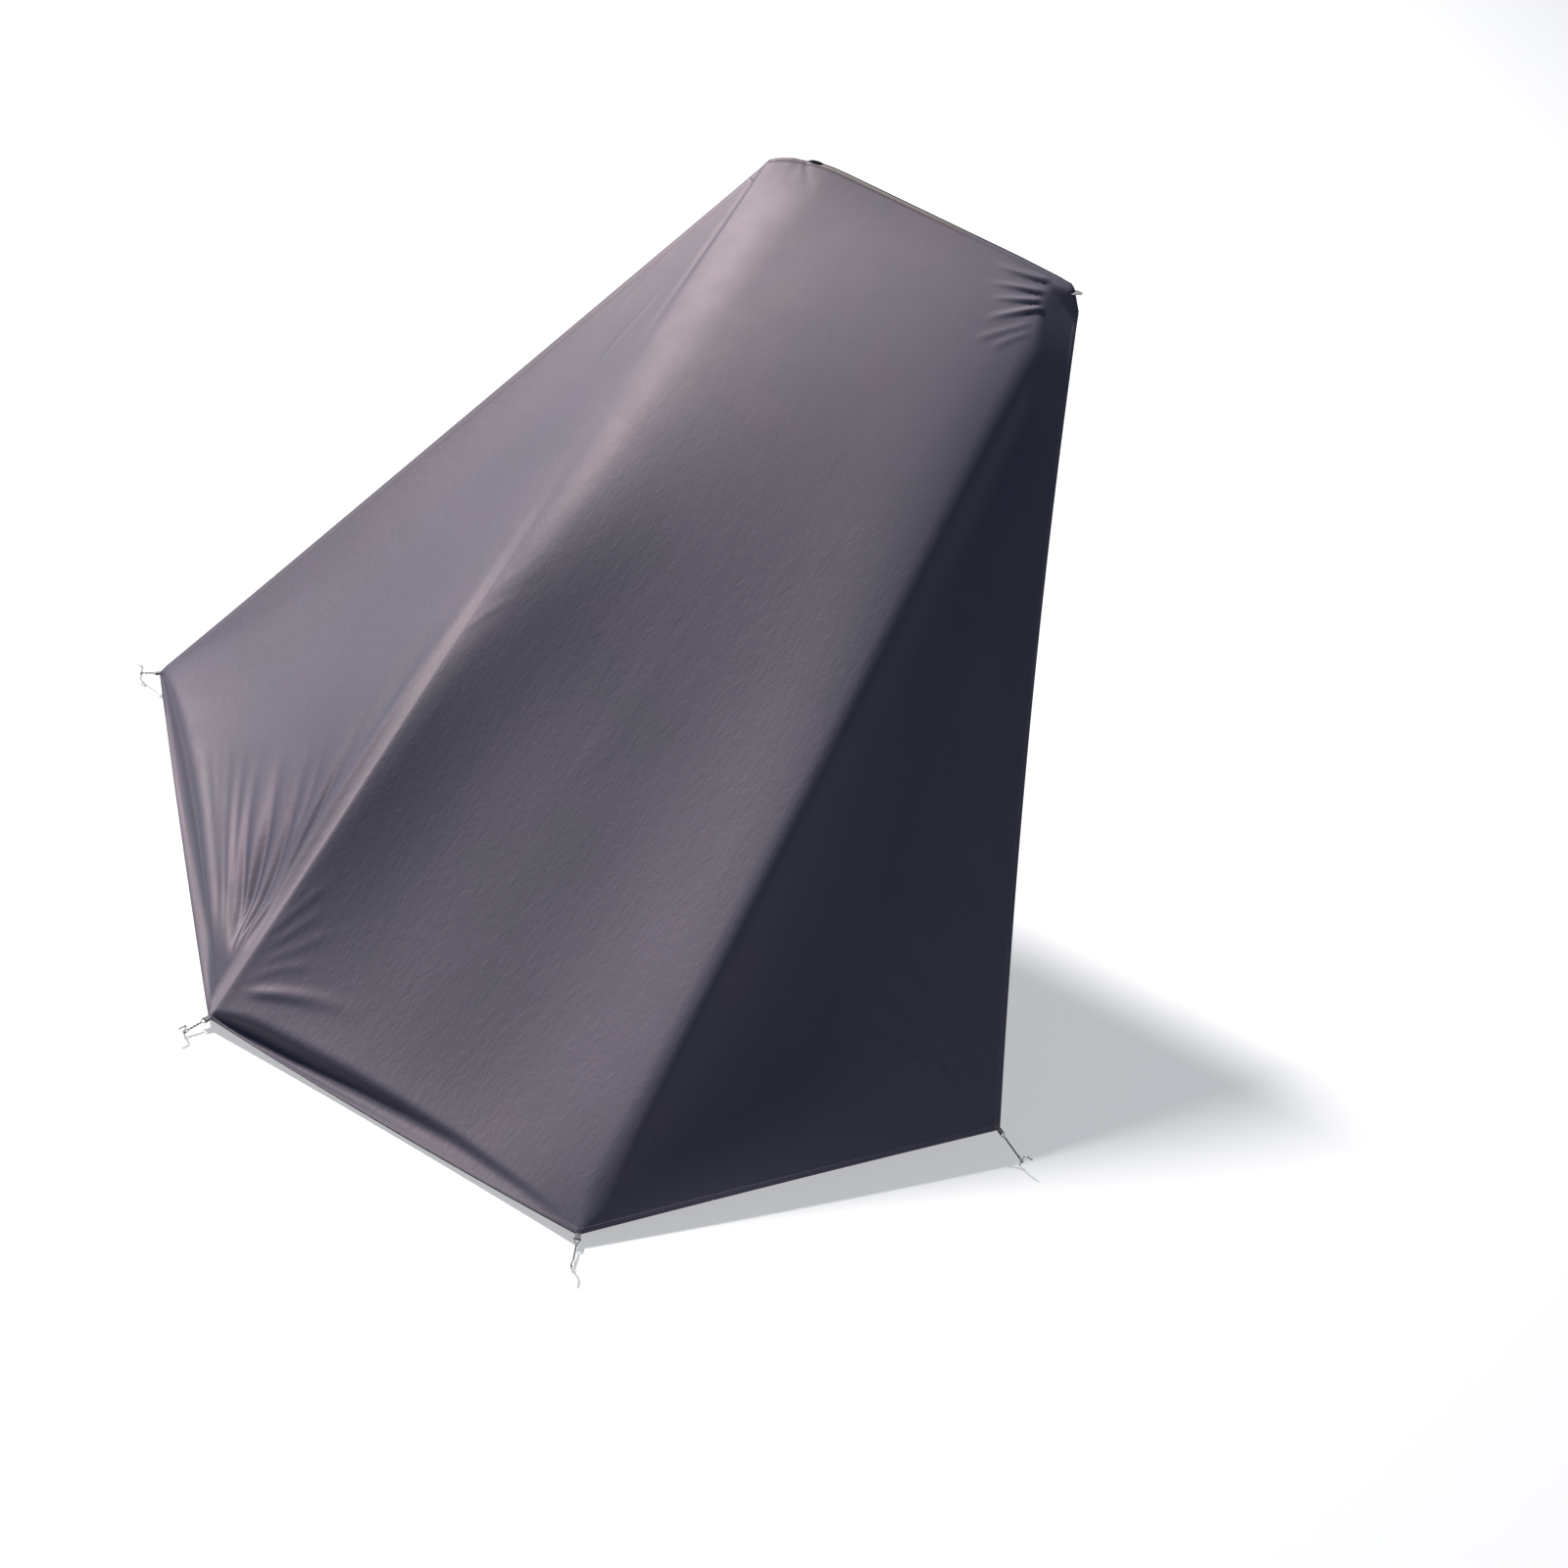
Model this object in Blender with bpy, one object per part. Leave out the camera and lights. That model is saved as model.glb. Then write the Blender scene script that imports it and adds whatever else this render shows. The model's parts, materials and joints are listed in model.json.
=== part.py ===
"""Van awning: a pitched lean-to canopy that hangs on a raised tailgate.

Units are metres and +Z is up. The origin is the middle of the flat back face
of the top hem, where the awning fastens to the tailgate. The front slopes
down toward -Y and the pegs stand on the ground.
"""

import math

import bmesh
import bpy
from mathutils import Vector

# Driving dimensions
TOP_EDGE_HEIGHT = 2.10
TOP_EDGE_HALF_WIDTH = 0.532
TOP_HEM_DEPTH = 0.040
TOP_HEM_THICKNESS = 0.005
HEM_END_SHARE = 0.06
CLOTH_THICKNESS = 0.004
HEM_WIDTH = 0.025
FIT_GAP = 0.0003
CROWN_DROP = {"left": 0.061, "right": 0.066}
CROWN_SETBACK = {"left": 0.028, "right": 0.030}
REAR_EDGE_BOW = {"left": 0.0, "right": 0.037}
GROUND_EDGE_DROOP = {"left": 0.016, "front": 0.018, "right": -0.006}
TAB_WIDTH = 0.016
TAB_LENGTH = 0.022
TAB_HEIGHT = 0.009
TAB_WALL = 0.002
TAILGATE_TAB_SIZE = (0.040, 0.002, 0.020)
TAILGATE_TAB_OVERHANG = 0.014
TAILGATE_TAB_SHARE = {"left": 0.45, "right": 0.12}
CORNER_CUT = 0.006
TIE_RADIUS = 0.0015
PEG_RADIUS = 0.003
PEG_HOOK_LENGTH = 0.030
PEG_BEND_RADIUS = 0.008
PEG_SHAFT_ABOVE_TIE = 0.022

# The front panel swells near the tailgate and sags lower down. The places
# and reaches are shares of its width and length, the depths are metres.
BELLIES = (
    {"depth": -0.095, "across": 0.72, "down": 0.11, "wide": 0.65, "long": 0.60},
    {"depth": 0.115, "across": 0.69, "down": 0.92, "wide": 0.31, "long": 0.60},
    {"depth": -0.060, "across": 0.01, "down": 0.47, "wide": 0.26, "long": 0.12},
    {"depth": 0.105, "across": 0.23, "down": 0.76, "wide": 0.33, "long": 0.30},
)
CALM_EDGE = (0.12, 0.10)
# How deep each wing sags toward its crown, rear and front corner
WING_SAG = {"left": (0.013, 0.040, -0.026), "right": (-0.017, 0.001, 0.041)}

# Places of the corners, from the tailgate mount
GROUND_Z = TOP_HEM_DEPTH / 2 - TOP_EDGE_HEIGHT
TOP_Z = TOP_HEM_DEPTH / 2
FRONT_OF_HEM_Y = -TOP_HEM_THICKNESS - FIT_GAP
TOP_CORNERS = {
    "left": Vector((-TOP_EDGE_HALF_WIDTH, FRONT_OF_HEM_Y, TOP_Z)),
    "right": Vector((TOP_EDGE_HALF_WIDTH, FRONT_OF_HEM_Y, TOP_Z)),
}
CROWN_CORNERS = {
    "left": Vector((-0.652, FRONT_OF_HEM_Y - CROWN_SETBACK["left"], TOP_Z - CROWN_DROP["left"])),
    "right": Vector((0.610, FRONT_OF_HEM_Y - CROWN_SETBACK["right"], TOP_Z - CROWN_DROP["right"])),
}
REAR_CORNERS = {
    "left": Vector((-1.717, -1.836, GROUND_Z + 0.070)),
    "right": Vector((1.687, -1.896, GROUND_Z + 0.090)),
}
FRONT_CORNERS = {
    "left": Vector((-0.674, -3.090, GROUND_Z + 0.030)),
    "right": Vector((0.682, -3.134, GROUND_Z + 0.030)),
}
PEG_TIE_POINTS = {
    "left_rear": Vector((-1.787, -1.836, GROUND_Z + 0.026)),
    "right_rear": Vector((1.802, -1.909, GROUND_Z + 0.022)),
    "left_front": Vector((-0.704, -3.172, GROUND_Z + 0.014)),
    "right_front": Vector((0.716, -3.234, GROUND_Z + 0.014)),
}

# Mesh density
FRONT_COLUMNS = 28
FRONT_ROWS = 24
WING_ROWS = 18
WING_COLUMNS = 18
TIE_POINTS = 12


def make_material(name, colour, roughness, metallic=0.0):
    material = bpy.data.materials.new(name)
    material.use_nodes = True
    shader = material.node_tree.nodes["Principled BSDF"]
    shader.inputs["Base Color"].default_value = (*colour, 1.0)
    shader.inputs["Roughness"].default_value = roughness
    shader.inputs["Metallic"].default_value = metallic
    return material


def add_object(name, bm, material, smooth=True):
    bmesh.ops.recalc_face_normals(bm, faces=bm.faces)
    mesh = bpy.data.meshes.new(name)
    bm.to_mesh(mesh)
    bm.free()
    mesh.materials.append(material)
    mesh.polygons.foreach_set("use_smooth", [smooth] * len(mesh.polygons))
    obj = bpy.data.objects.new(name, mesh)
    bpy.context.scene.collection.objects.link(obj)
    return obj


def grid_surface(rows):
    """A surface through rows of points; equal neighbours share one vertex."""
    bm = bmesh.new()
    grid = []
    for row in rows:
        verts = []
        for point in row:
            if verts and (verts[-1].co - point).length < 1e-6:
                verts.append(verts[-1])
            else:
                verts.append(bm.verts.new(point))
        grid.append(verts)
    for upper, lower in zip(grid, grid[1:]):
        for i in range(len(upper) - 1):
            ring = [upper[i], upper[i + 1], lower[i + 1], lower[i]]
            corners = [v for n, v in enumerate(ring) if v is not ring[n - 1]]
            if len(corners) > 2:
                bm.faces.new(corners)
    bmesh.ops.remove_doubles(bm, verts=bm.verts, dist=1e-6)
    return bm


# The canopy surface
def plane_normal(a, b, c):
    normal = (b - a).cross(c - a).normalized()
    return normal if normal.z > 0 else -normal


def front_normal():
    middle = (FRONT_CORNERS["left"] + FRONT_CORNERS["right"]) / 2
    return plane_normal(TOP_CORNERS["left"], TOP_CORNERS["right"], middle)


def wing_normal(side):
    return plane_normal(CROWN_CORNERS[side], REAR_CORNERS[side], FRONT_CORNERS[side])


def ridge_mitre(side):
    """The offset that gives both panels of a ridge one common inner line."""
    a = front_normal()
    b = wing_normal(side)
    return (a + b) / (1 + a.dot(b))


def front_sag(across, down):
    sag = 0.0
    for belly in BELLIES:
        aside = (across - belly["across"]) / belly["wide"]
        below = (down - belly["down"]) / belly["long"]
        sag += belly["depth"] * math.exp(-aside * aside - below * below)
    for share, calm in zip((across, down), CALM_EDGE):
        sag *= (1 - math.exp(-share / calm)) * (1 - math.exp(-(1 - share) / calm))
    return sag


def front_point(across, down):
    """A point of the front panel: across 0 to 1 from the left, down 0 to 1."""
    row = []
    for side in ("left", "right"):
        foot = FRONT_CORNERS[side]
        crease = TOP_CORNERS[side].lerp(foot, down)
        row.append((CROWN_CORNERS[side].lerp(foot, down), crease))
    (left, left_crease), (right_crease, right) = row[0], row[1][::-1]
    lengths = [(left_crease - left).length, (right_crease - left_crease).length]
    lengths.append((right - right_crease).length)
    travel = across * sum(lengths)
    if travel < lengths[0]:
        point = left.lerp(left_crease, travel / lengths[0])
    elif travel < lengths[0] + lengths[1]:
        point = left_crease.lerp(right_crease, (travel - lengths[0]) / lengths[1])
    else:
        rest = travel - lengths[0] - lengths[1]
        point = right_crease.lerp(right, min(1.0, rest / max(lengths[2], 1e-9)))
    droop = 4 * across * (1 - across) * down ** 6
    point = point - front_normal() * front_sag(across, down)
    return point - Vector((0, 0, GROUND_EDGE_DROOP["front"] * droop))


def wing_point(side, crown, rear, front):
    """A point of a wing from its shares of the crown, rear and front corner."""
    flat = CROWN_CORNERS[side] * crown + REAR_CORNERS[side] * rear + FRONT_CORNERS[side] * front
    edge = (REAR_CORNERS[side] - CROWN_CORNERS[side]).normalized()
    inward = wing_normal(side).cross(edge)
    if inward.dot(FRONT_CORNERS[side] - CROWN_CORNERS[side]) < 0:
        inward = -inward
    flat += inward * REAR_EDGE_BOW[side] * 4 * crown * rear
    depth = sum(sag * share for sag, share in zip(WING_SAG[side], (crown, rear, front)))
    flat -= wing_normal(side) * depth * 81 * crown * rear * front
    return flat - Vector((0, 0, GROUND_EDGE_DROOP[side] * 4 * rear * front))


def hem_shares(side):
    """Shares of the three corners of the wing panel inside its hems."""
    crown, rear, front = CROWN_CORNERS[side], REAR_CORNERS[side], FRONT_CORNERS[side]
    double_area = (rear - crown).cross(front - crown).length
    rear_share = HEM_WIDTH / (double_area / (rear - crown).length)
    ground_share = HEM_WIDTH / (double_area / (front - rear).length)
    at_crown = (1 - rear_share, 0.0, rear_share)
    at_rear = (ground_share, 1 - ground_share - rear_share, rear_share)
    at_front = (ground_share, 0.0, 1 - ground_share)
    return at_crown, at_rear, at_front


def mix_shares(a, b, t):
    return tuple(x + (y - x) * t for x, y in zip(a, b))


# Cutting, fitting and thickening of the surfaces
def corner_directions():
    """Each ground corner with the direction in which its tie pulls."""
    corners = {}
    for side in ("left", "right"):
        for end, place in (("rear", REAR_CORNERS[side]), ("front", FRONT_CORNERS[side])):
            pull = PEG_TIE_POINTS[side + "_" + end] - place
            corners[side + "_" + end] = (place, pull.normalized())
    return corners


def cut_corners(bm):
    for place, pull in corner_directions().values():
        geometry = bm.verts[:] + bm.edges[:] + bm.faces[:]
        bmesh.ops.bisect_plane(
            bm, geom=geometry, plane_co=place - pull * CORNER_CUT, plane_no=pull, clear_outer=True
        )


def fit_border(bm):
    """Draw the border in by half the fitting gap."""
    bmesh.ops.recalc_face_normals(bm, faces=bm.faces)
    ring = bmesh.ops.inset_region(
        bm, faces=bm.faces[:], thickness=FIT_GAP * 0.7, use_even_offset=True, use_boundary=True
    )
    bmesh.ops.delete(bm, geom=ring["faces"], context="FACES")


def lies_on(point, a, b):
    along = (b - a).normalized()
    return (point - a).cross(along).length < 2 * FIT_GAP


def lies_on_top_edge(point):
    left, right = TOP_CORNERS["left"], TOP_CORNERS["right"]
    if lies_on(point, left, right):
        return True
    return any(lies_on(point, TOP_CORNERS[s], CROWN_CORNERS[s]) for s in ("left", "right"))


def inward_step(vert, normal, sides):
    """How far a vertex of the outer face moves in for one unit of thickness."""
    upright = Vector((0, 0, 1 / normal.z))
    at_top = lies_on_top_edge(vert.co)
    step = upright if at_top else normal
    for side in sides:
        crown, foot = CROWN_CORNERS[side], FRONT_CORNERS[side]
        if not lies_on(vert.co, crown, foot):
            continue
        mitre = ridge_mitre(side)
        ridge = (foot - crown).normalized()
        for edge in vert.link_edges:
            other = edge.other_vert(vert)
            if edge.is_boundary and not lies_on(other.co, crown, foot):
                end_plane = (other.co - vert.co).cross(step).normalized()
                mitre -= ridge * mitre.dot(end_plane) / ridge.dot(end_plane)
                break
        return mitre
    return step


def thicken(bm, normal, sides, thickness=CLOTH_THICKNESS):
    """Give the cloth its thickness on the inner side, mitred along the ridges."""
    steps = [(vert.co.copy(), inward_step(vert, normal, sides)) for vert in bm.verts]
    steps = {tuple(place): step for place, step in steps}
    result = bmesh.ops.extrude_face_region(bm, geom=bm.faces[:], use_keep_orig=True)
    for vert in result["geom"]:
        if isinstance(vert, bmesh.types.BMVert):
            vert.co -= steps[tuple(vert.co)] * thickness


# Sub-parts of the canopy
def front_rows(first, last, steps):
    rows = []
    for j in range(steps + 1):
        down = first + (last - first) * j / steps
        rows.append([front_point(i / FRONT_COLUMNS, down) for i in range(FRONT_COLUMNS + 1)])
    return rows


def front_hem_share():
    length = (TOP_CORNERS["left"] - FRONT_CORNERS["left"]).length
    return HEM_WIDTH / length


def make_front_panel(material):
    bm = grid_surface(front_rows(0.0, 1 - front_hem_share(), FRONT_ROWS))
    fit_border(bm)
    thicken(bm, front_normal(), ("left", "right"))
    return add_object("front_panel", bm, material)


def make_front_ground_hem(material):
    bm = grid_surface(front_rows(1 - front_hem_share(), 1.0, 1))
    cut_corners(bm)
    fit_border(bm)
    thicken(bm, front_normal(), ("left", "right"))
    return add_object("front_ground_hem", bm, material)


def make_wing(side, material):
    at_crown, at_rear, at_front = hem_shares(side)
    rows = []
    for j in range(WING_ROWS + 1):
        ridge = mix_shares(at_crown, at_front, j / WING_ROWS)
        row = []
        for k in range(WING_COLUMNS + 1):
            row.append(wing_point(side, *mix_shares(ridge, at_rear, k / WING_COLUMNS)))
        rows.append(row)
    bm = grid_surface(rows)
    fit_border(bm)
    thicken(bm, wing_normal(side), (side,))
    return add_object(side + "_wing", bm, material)


def make_wing_hem(side, name, outer, inner, material):
    rows = []
    for a, b in (outer, inner):
        row = [mix_shares(a, b, k / WING_COLUMNS) for k in range(WING_COLUMNS + 1)]
        rows.append([wing_point(side, *shares) for shares in row])
    bm = grid_surface(rows)
    cut_corners(bm)
    fit_border(bm)
    thicken(bm, wing_normal(side), (side,))
    return add_object(name, bm, material)


def make_wing_hems(side, material):
    at_crown, at_rear, at_front = hem_shares(side)
    crown, rear, front = (1, 0, 0), (0, 1, 0), (0, 0, 1)
    make_wing_hem(side, side + "_rear_hem", (crown, rear), (at_crown, at_rear), material)
    make_wing_hem(side, side + "_ground_hem", (front, rear), (at_front, at_rear), material)


def make_top_hem(material):
    """A flat band behind the top edge, with a short return down each crown."""
    points = []
    for side in ("left", "right"):
        crown = CROWN_CORNERS[side].lerp(TOP_CORNERS[side], HEM_END_SHARE)
        pair = [crown, TOP_CORNERS[side]]
        points += pair if side == "left" else pair[::-1]
    back = Vector((0, TOP_HEM_THICKNESS, 0))
    front = Vector((0, FIT_GAP, 0))
    down = Vector((0, 0, -TOP_HEM_DEPTH))
    bm = bmesh.new()
    sections = []
    for point in points:
        corners = (point + front, point + front + back, point + front + back + down, point + front + down)
        sections.append([bm.verts.new(corner) for corner in corners])
    for a, b in zip(sections, sections[1:]):
        for i in range(4):
            bm.faces.new((a[i], a[i - 1], b[i - 1], b[i]))
    bm.faces.new(sections[0])
    bm.faces.new(sections[-1][::-1])
    return add_object("top_hem", bm, material, smooth=False)


# Tabs, ties and pegs
def frame_for(direction):
    """A sideways and an upward unit vector square to a direction."""
    sideways = direction.cross(Vector((0, 0, 1))).normalized()
    upward = sideways.cross(direction).normalized()
    return sideways, upward


def make_tab(name, place, pull, material):
    """A loop of webbing: a flat ring whose back lies against the corner."""
    sideways, upward = frame_for(pull)
    start = place - pull * (CORNER_CUT - FIT_GAP) - upward * CLOTH_THICKNESS / 2
    profile = []
    half = TAB_HEIGHT / 2
    for wall in (0.0, TAB_WALL):
        ring = []
        radius = half - wall
        for i in range(9):
            angle = math.pi * (i / 8 - 0.5)
            out = TAB_LENGTH - half + radius * math.cos(angle)
            ring.append((out, radius * math.sin(angle)))
        ring.append((wall, radius))
        ring.append((wall, -radius))
        profile.append(ring)
    bm = bmesh.new()
    sides = []
    for shift in (-TAB_WIDTH / 2, TAB_WIDTH / 2):
        loops = []
        for ring in profile:
            points = [start + pull * x + upward * z + sideways * shift for x, z in ring]
            loops.append([bm.verts.new(point) for point in points])
        sides.append(loops)
    count = len(profile[0])
    for i in range(count):
        j = (i + 1) % count
        for loops in sides:
            bm.faces.new((loops[0][i], loops[0][j], loops[1][j], loops[1][i]))
        for ring in (0, 1):
            near, far = sides[0][ring], sides[1][ring]
            bm.faces.new((near[i], near[j], far[j], far[i]))
    return add_object(name, bm, material)


def swept_tube(points, radius, cyclic, sections=10):
    """A round tube along points, as a mesh with closed ends."""
    curve = bpy.data.curves.new("route", "CURVE")
    curve.dimensions = "3D"
    curve.bevel_depth = radius
    curve.bevel_resolution = sections // 2 - 2
    curve.use_fill_caps = not cyclic
    spline = curve.splines.new("POLY")
    spline.points.add(len(points) - 1)
    for control, point in zip(spline.points, points):
        control.co = (*point, 1.0)
    spline.use_cyclic_u = cyclic
    holder = bpy.data.objects.new("route", curve)
    bpy.context.scene.collection.objects.link(holder)
    evaluated = holder.evaluated_get(bpy.context.evaluated_depsgraph_get())
    bm = bmesh.new()
    bm.from_mesh(evaluated.to_mesh())
    evaluated.to_mesh_clear()
    bpy.data.objects.remove(holder)
    bpy.data.curves.remove(curve)
    bmesh.ops.remove_doubles(bm, verts=bm.verts, dist=1e-6)
    return bm


def make_tie(name, place, pull, peg_point, material):
    """A doubled cord: a closed loop through the tab and round the peg."""
    sideways = frame_for(pull)[0]
    hole = TAB_LENGTH - TAB_HEIGHT / 2
    start = place + pull * (hole - CORNER_CUT) - frame_for(pull)[1] * CLOTH_THICKNESS / 2
    start -= pull * 0.001
    axis = (peg_point - start).normalized()
    length = (peg_point - start).length
    wide = TAB_WIDTH / 2 + TIE_RADIUS + 0.0015
    narrow = PEG_RADIUS + TIE_RADIUS + 2 * FIT_GAP
    level = Vector((axis.x, axis.y, 0)).length
    points = []
    for i in range(TIE_POINTS + 1):
        angle = math.pi * (i / TIE_POINTS - 0.5)
        out = axis * narrow / level * math.cos(angle) + sideways * narrow * math.sin(angle)
        points.append(peg_point + out)
    points.append(start + axis * length * 0.30 + sideways * wide)
    points.append(start + axis * 0.004 + sideways * wide)
    points.append(start + sideways * (wide - 0.003))
    points.append(start - sideways * (wide - 0.003))
    points.append(start + axis * 0.004 - sideways * wide)
    points.append(start + axis * length * 0.30 - sideways * wide)
    return add_object(name, swept_tube(points, TIE_RADIUS, True), material)


def make_peg(name, peg_point, pull, material):
    """A hooked round peg, cut off flat at the ground."""
    away = Vector((pull.x, pull.y, 0)).normalized()
    foot = Vector((peg_point.x, peg_point.y, GROUND_Z - 0.02))
    bend_z = peg_point.z + PEG_SHAFT_ABOVE_TIE
    points = [foot]
    for i in range(9):
        angle = math.pi / 2 * i / 8
        out = PEG_BEND_RADIUS * (1 - math.cos(angle))
        rise = PEG_BEND_RADIUS * math.sin(angle)
        points.append(Vector((peg_point.x, peg_point.y, bend_z)) + away * out + Vector((0, 0, rise)))
    points.append(points[-1] + away * (PEG_HOOK_LENGTH - PEG_BEND_RADIUS))
    bm = swept_tube(points, PEG_RADIUS, False, sections=12)
    geometry = bm.verts[:] + bm.edges[:] + bm.faces[:]
    cut = bmesh.ops.bisect_plane(
        bm, geom=geometry, plane_co=(0, 0, GROUND_Z), plane_no=(0, 0, -1), clear_outer=True
    )
    rim = [edge for edge in cut["geom_cut"] if isinstance(edge, bmesh.types.BMEdge)]
    bmesh.ops.holes_fill(bm, edges=rim, sides=0)
    return add_object(name, bm, material)


def make_tailgate_tab(side, material):
    """A short flat tab, sewn to the back of the hem where it turns down the crown."""
    top, crown = TOP_CORNERS[side], CROWN_CORNERS[side]
    outward = Vector((crown.x - top.x, crown.y - top.y, 0)).normalized()
    upward = Vector((0, 0, 1))
    backward = Vector((abs(outward.y), abs(outward.x), 0))
    backward.x *= 1 if side == "right" else -1
    behind = (FIT_GAP + TOP_HEM_THICKNESS) * backward.y + FIT_GAP + TAILGATE_TAB_SIZE[1] / 2
    centre = top.lerp(crown, TAILGATE_TAB_SHARE[side]) + outward * TAILGATE_TAB_OVERHANG
    centre += backward * behind - upward * (TAILGATE_TAB_SIZE[2] / 2 + 0.004)
    bm = bmesh.new()
    bmesh.ops.create_cube(bm, size=1.0)
    for vert in bm.verts:
        x, y, z = (a * b for a, b in zip(vert.co, TAILGATE_TAB_SIZE))
        vert.co = centre + outward * x + backward * y + upward * z
    bmesh.ops.recalc_face_normals(bm, faces=bm.faces)
    bmesh.ops.bevel(bm, geom=bm.edges[:], offset=0.0004, segments=1, affect="EDGES")
    return add_object(side + "_tailgate_tab", bm, material, smooth=False)


def make_awning():
    for obj in list(bpy.data.objects):
        bpy.data.objects.remove(obj, do_unlink=True)
    cloth = make_material("coated_cloth", (0.205, 0.183, 0.215), 0.45)
    hem_cloth = make_material("hem_cloth", (0.180, 0.162, 0.195), 0.50)
    webbing = make_material("webbing", (0.42, 0.40, 0.42), 0.75)
    cord = make_material("tie_cord", (0.40, 0.39, 0.40), 0.70)
    steel = make_material("galvanised_steel", (0.56, 0.56, 0.57), 0.38, 0.9)
    make_front_panel(cloth)
    make_front_ground_hem(hem_cloth)
    make_top_hem(hem_cloth)
    for side in ("left", "right"):
        make_wing(side, cloth)
        make_wing_hems(side, hem_cloth)
        make_tailgate_tab(side, webbing)
    for corner, (place, pull) in corner_directions().items():
        peg_point = PEG_TIE_POINTS[corner]
        make_tab(corner + "_tab", place, pull, webbing)
        make_tie(corner + "_tie", place, pull, peg_point, cord)
        make_peg(corner + "_peg", peg_point, pull, steel)


make_awning()
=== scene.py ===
import json
import math

import bmesh
import bpy
import numpy as np
from mathutils import Matrix, Vector

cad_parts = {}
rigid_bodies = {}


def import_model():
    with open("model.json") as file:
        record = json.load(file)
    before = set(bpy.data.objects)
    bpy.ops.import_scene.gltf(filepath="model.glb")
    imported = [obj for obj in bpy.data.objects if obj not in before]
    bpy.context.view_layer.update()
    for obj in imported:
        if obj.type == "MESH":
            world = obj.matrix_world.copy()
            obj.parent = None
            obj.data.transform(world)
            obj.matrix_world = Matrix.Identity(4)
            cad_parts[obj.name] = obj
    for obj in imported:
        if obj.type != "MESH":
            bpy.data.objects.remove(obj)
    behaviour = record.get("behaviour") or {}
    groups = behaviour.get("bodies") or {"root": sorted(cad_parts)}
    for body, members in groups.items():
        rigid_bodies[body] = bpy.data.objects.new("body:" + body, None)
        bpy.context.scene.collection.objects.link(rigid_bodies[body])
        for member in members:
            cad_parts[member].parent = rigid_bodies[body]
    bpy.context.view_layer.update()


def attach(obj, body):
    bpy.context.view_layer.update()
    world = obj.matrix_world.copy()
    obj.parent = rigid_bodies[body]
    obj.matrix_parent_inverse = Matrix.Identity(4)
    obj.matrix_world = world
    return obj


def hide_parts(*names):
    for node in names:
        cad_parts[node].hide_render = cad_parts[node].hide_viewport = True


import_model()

scene = bpy.context.scene
scene.view_settings.view_transform = "Standard"


def say(text):
    print("awning:", text)


# angles are in degrees; roll is how far the camera leans to one side. A separate script fitted this camera
# and most of the awning's corners to the corners in the photo
photoCamera = dict(azimuth=8.971, elevation=37.54, roll=22.0, distance=8.465,
                   target=(0.445, -1.205, -1.637), lens=54.0, sensor=36.0)


def addCamera():
    c = photoCamera
    az, el, roll = (math.radians(c[k]) for k in ("azimuth", "elevation", "roll"))
    back = Vector((math.sin(az) * math.cos(el), -math.cos(az) * math.cos(el), math.sin(el)))
    side = Vector((math.cos(az), math.sin(az), 0.0))
    up = back.cross(side)
    x = side * math.cos(roll) + up * math.sin(roll)
    y = up * math.cos(roll) - side * math.sin(roll)
    data = bpy.data.cameras.new("photoCamera")
    data.lens = c["lens"]
    data.sensor_width = c["sensor"]
    camera = bpy.data.objects.new("photoCamera", data)
    scene.collection.objects.link(camera)
    turn = Matrix((x, y, back)).transposed().to_4x4()
    camera.matrix_world = Matrix.Translation(Vector(c["target"]) + back * c["distance"]) @ turn
    scene.camera = camera


studioFloor = dict(height=-2.0802, size=120.0, colour=(0.5, 0.5, 0.5), roughness=0.9, specular=0.1, glow=0.45)
# light is the brightness in watts a square metre, measured at the distance metredAt. It and the place come
# from the same fit as the bellies
keyLight = dict(place=(-14.0, 5.4, 13.7), aim=(0.0, -1.5, -1.0), size=2.4, light=118.0, metredAt=5.0,
                colour=(1.0, 0.975, 0.955))
skyColour = dict(colour=(0.50, 0.70, 1.0), strength=0.18)


def addStudio():
    f = studioFloor
    bpy.ops.mesh.primitive_plane_add(size=f["size"], location=(0, 0, f["height"]))
    floor = bpy.context.object
    floor.name = "studio_floor"
    material, tree, shader = newMaterial("studioFloor", f["colour"], f["roughness"])
    shader.inputs["Specular IOR Level"].default_value = f["specular"]
    shader.inputs["Emission Color"].default_value = (1, 1, 1, 1)
    shader.inputs["Emission Strength"].default_value = f["glow"]
    floor.data.materials.append(material)
    k = keyLight
    data = bpy.data.lights.new("keyLight", "AREA")
    data.shape = "DISK"
    data.size = k["size"]
    data.energy = k["light"] * math.pi * k["metredAt"] ** 2
    data.color = k["colour"]
    key = bpy.data.objects.new("keyLight", data)
    scene.collection.objects.link(key)
    key.location = k["place"]
    key.rotation_euler = (Vector(k["aim"]) - Vector(k["place"])).to_track_quat("-Z", "Y").to_euler()
    world = bpy.data.worlds.new("studioSky")
    world.use_nodes = True
    sky = world.node_tree.nodes["Background"]
    sky.inputs["Color"].default_value = (*skyColour["colour"], 1)
    sky.inputs["Strength"].default_value = skyColour["strength"]
    scene.world = world


# the awning's corners, in metres from the tailgate mount
def bySide(left, right):
    return {"left": np.array(left), "right": np.array(right)}


sides = ("left", "right")
groundHeight = -2.080
topCorner = bySide((-0.532, -0.0053, 0.020), (0.553, -0.0053, 0.020))
crownCorner = bySide((-0.652, -0.0333, -0.041), (0.610, -0.0353, -0.046))
rearCorner = bySide((-1.717, -1.836, -2.010), (1.687, -1.896, -1.990))
frontCorner = bySide((-0.674, -3.090, -2.050), (0.682, -3.134, -2.050))

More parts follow.
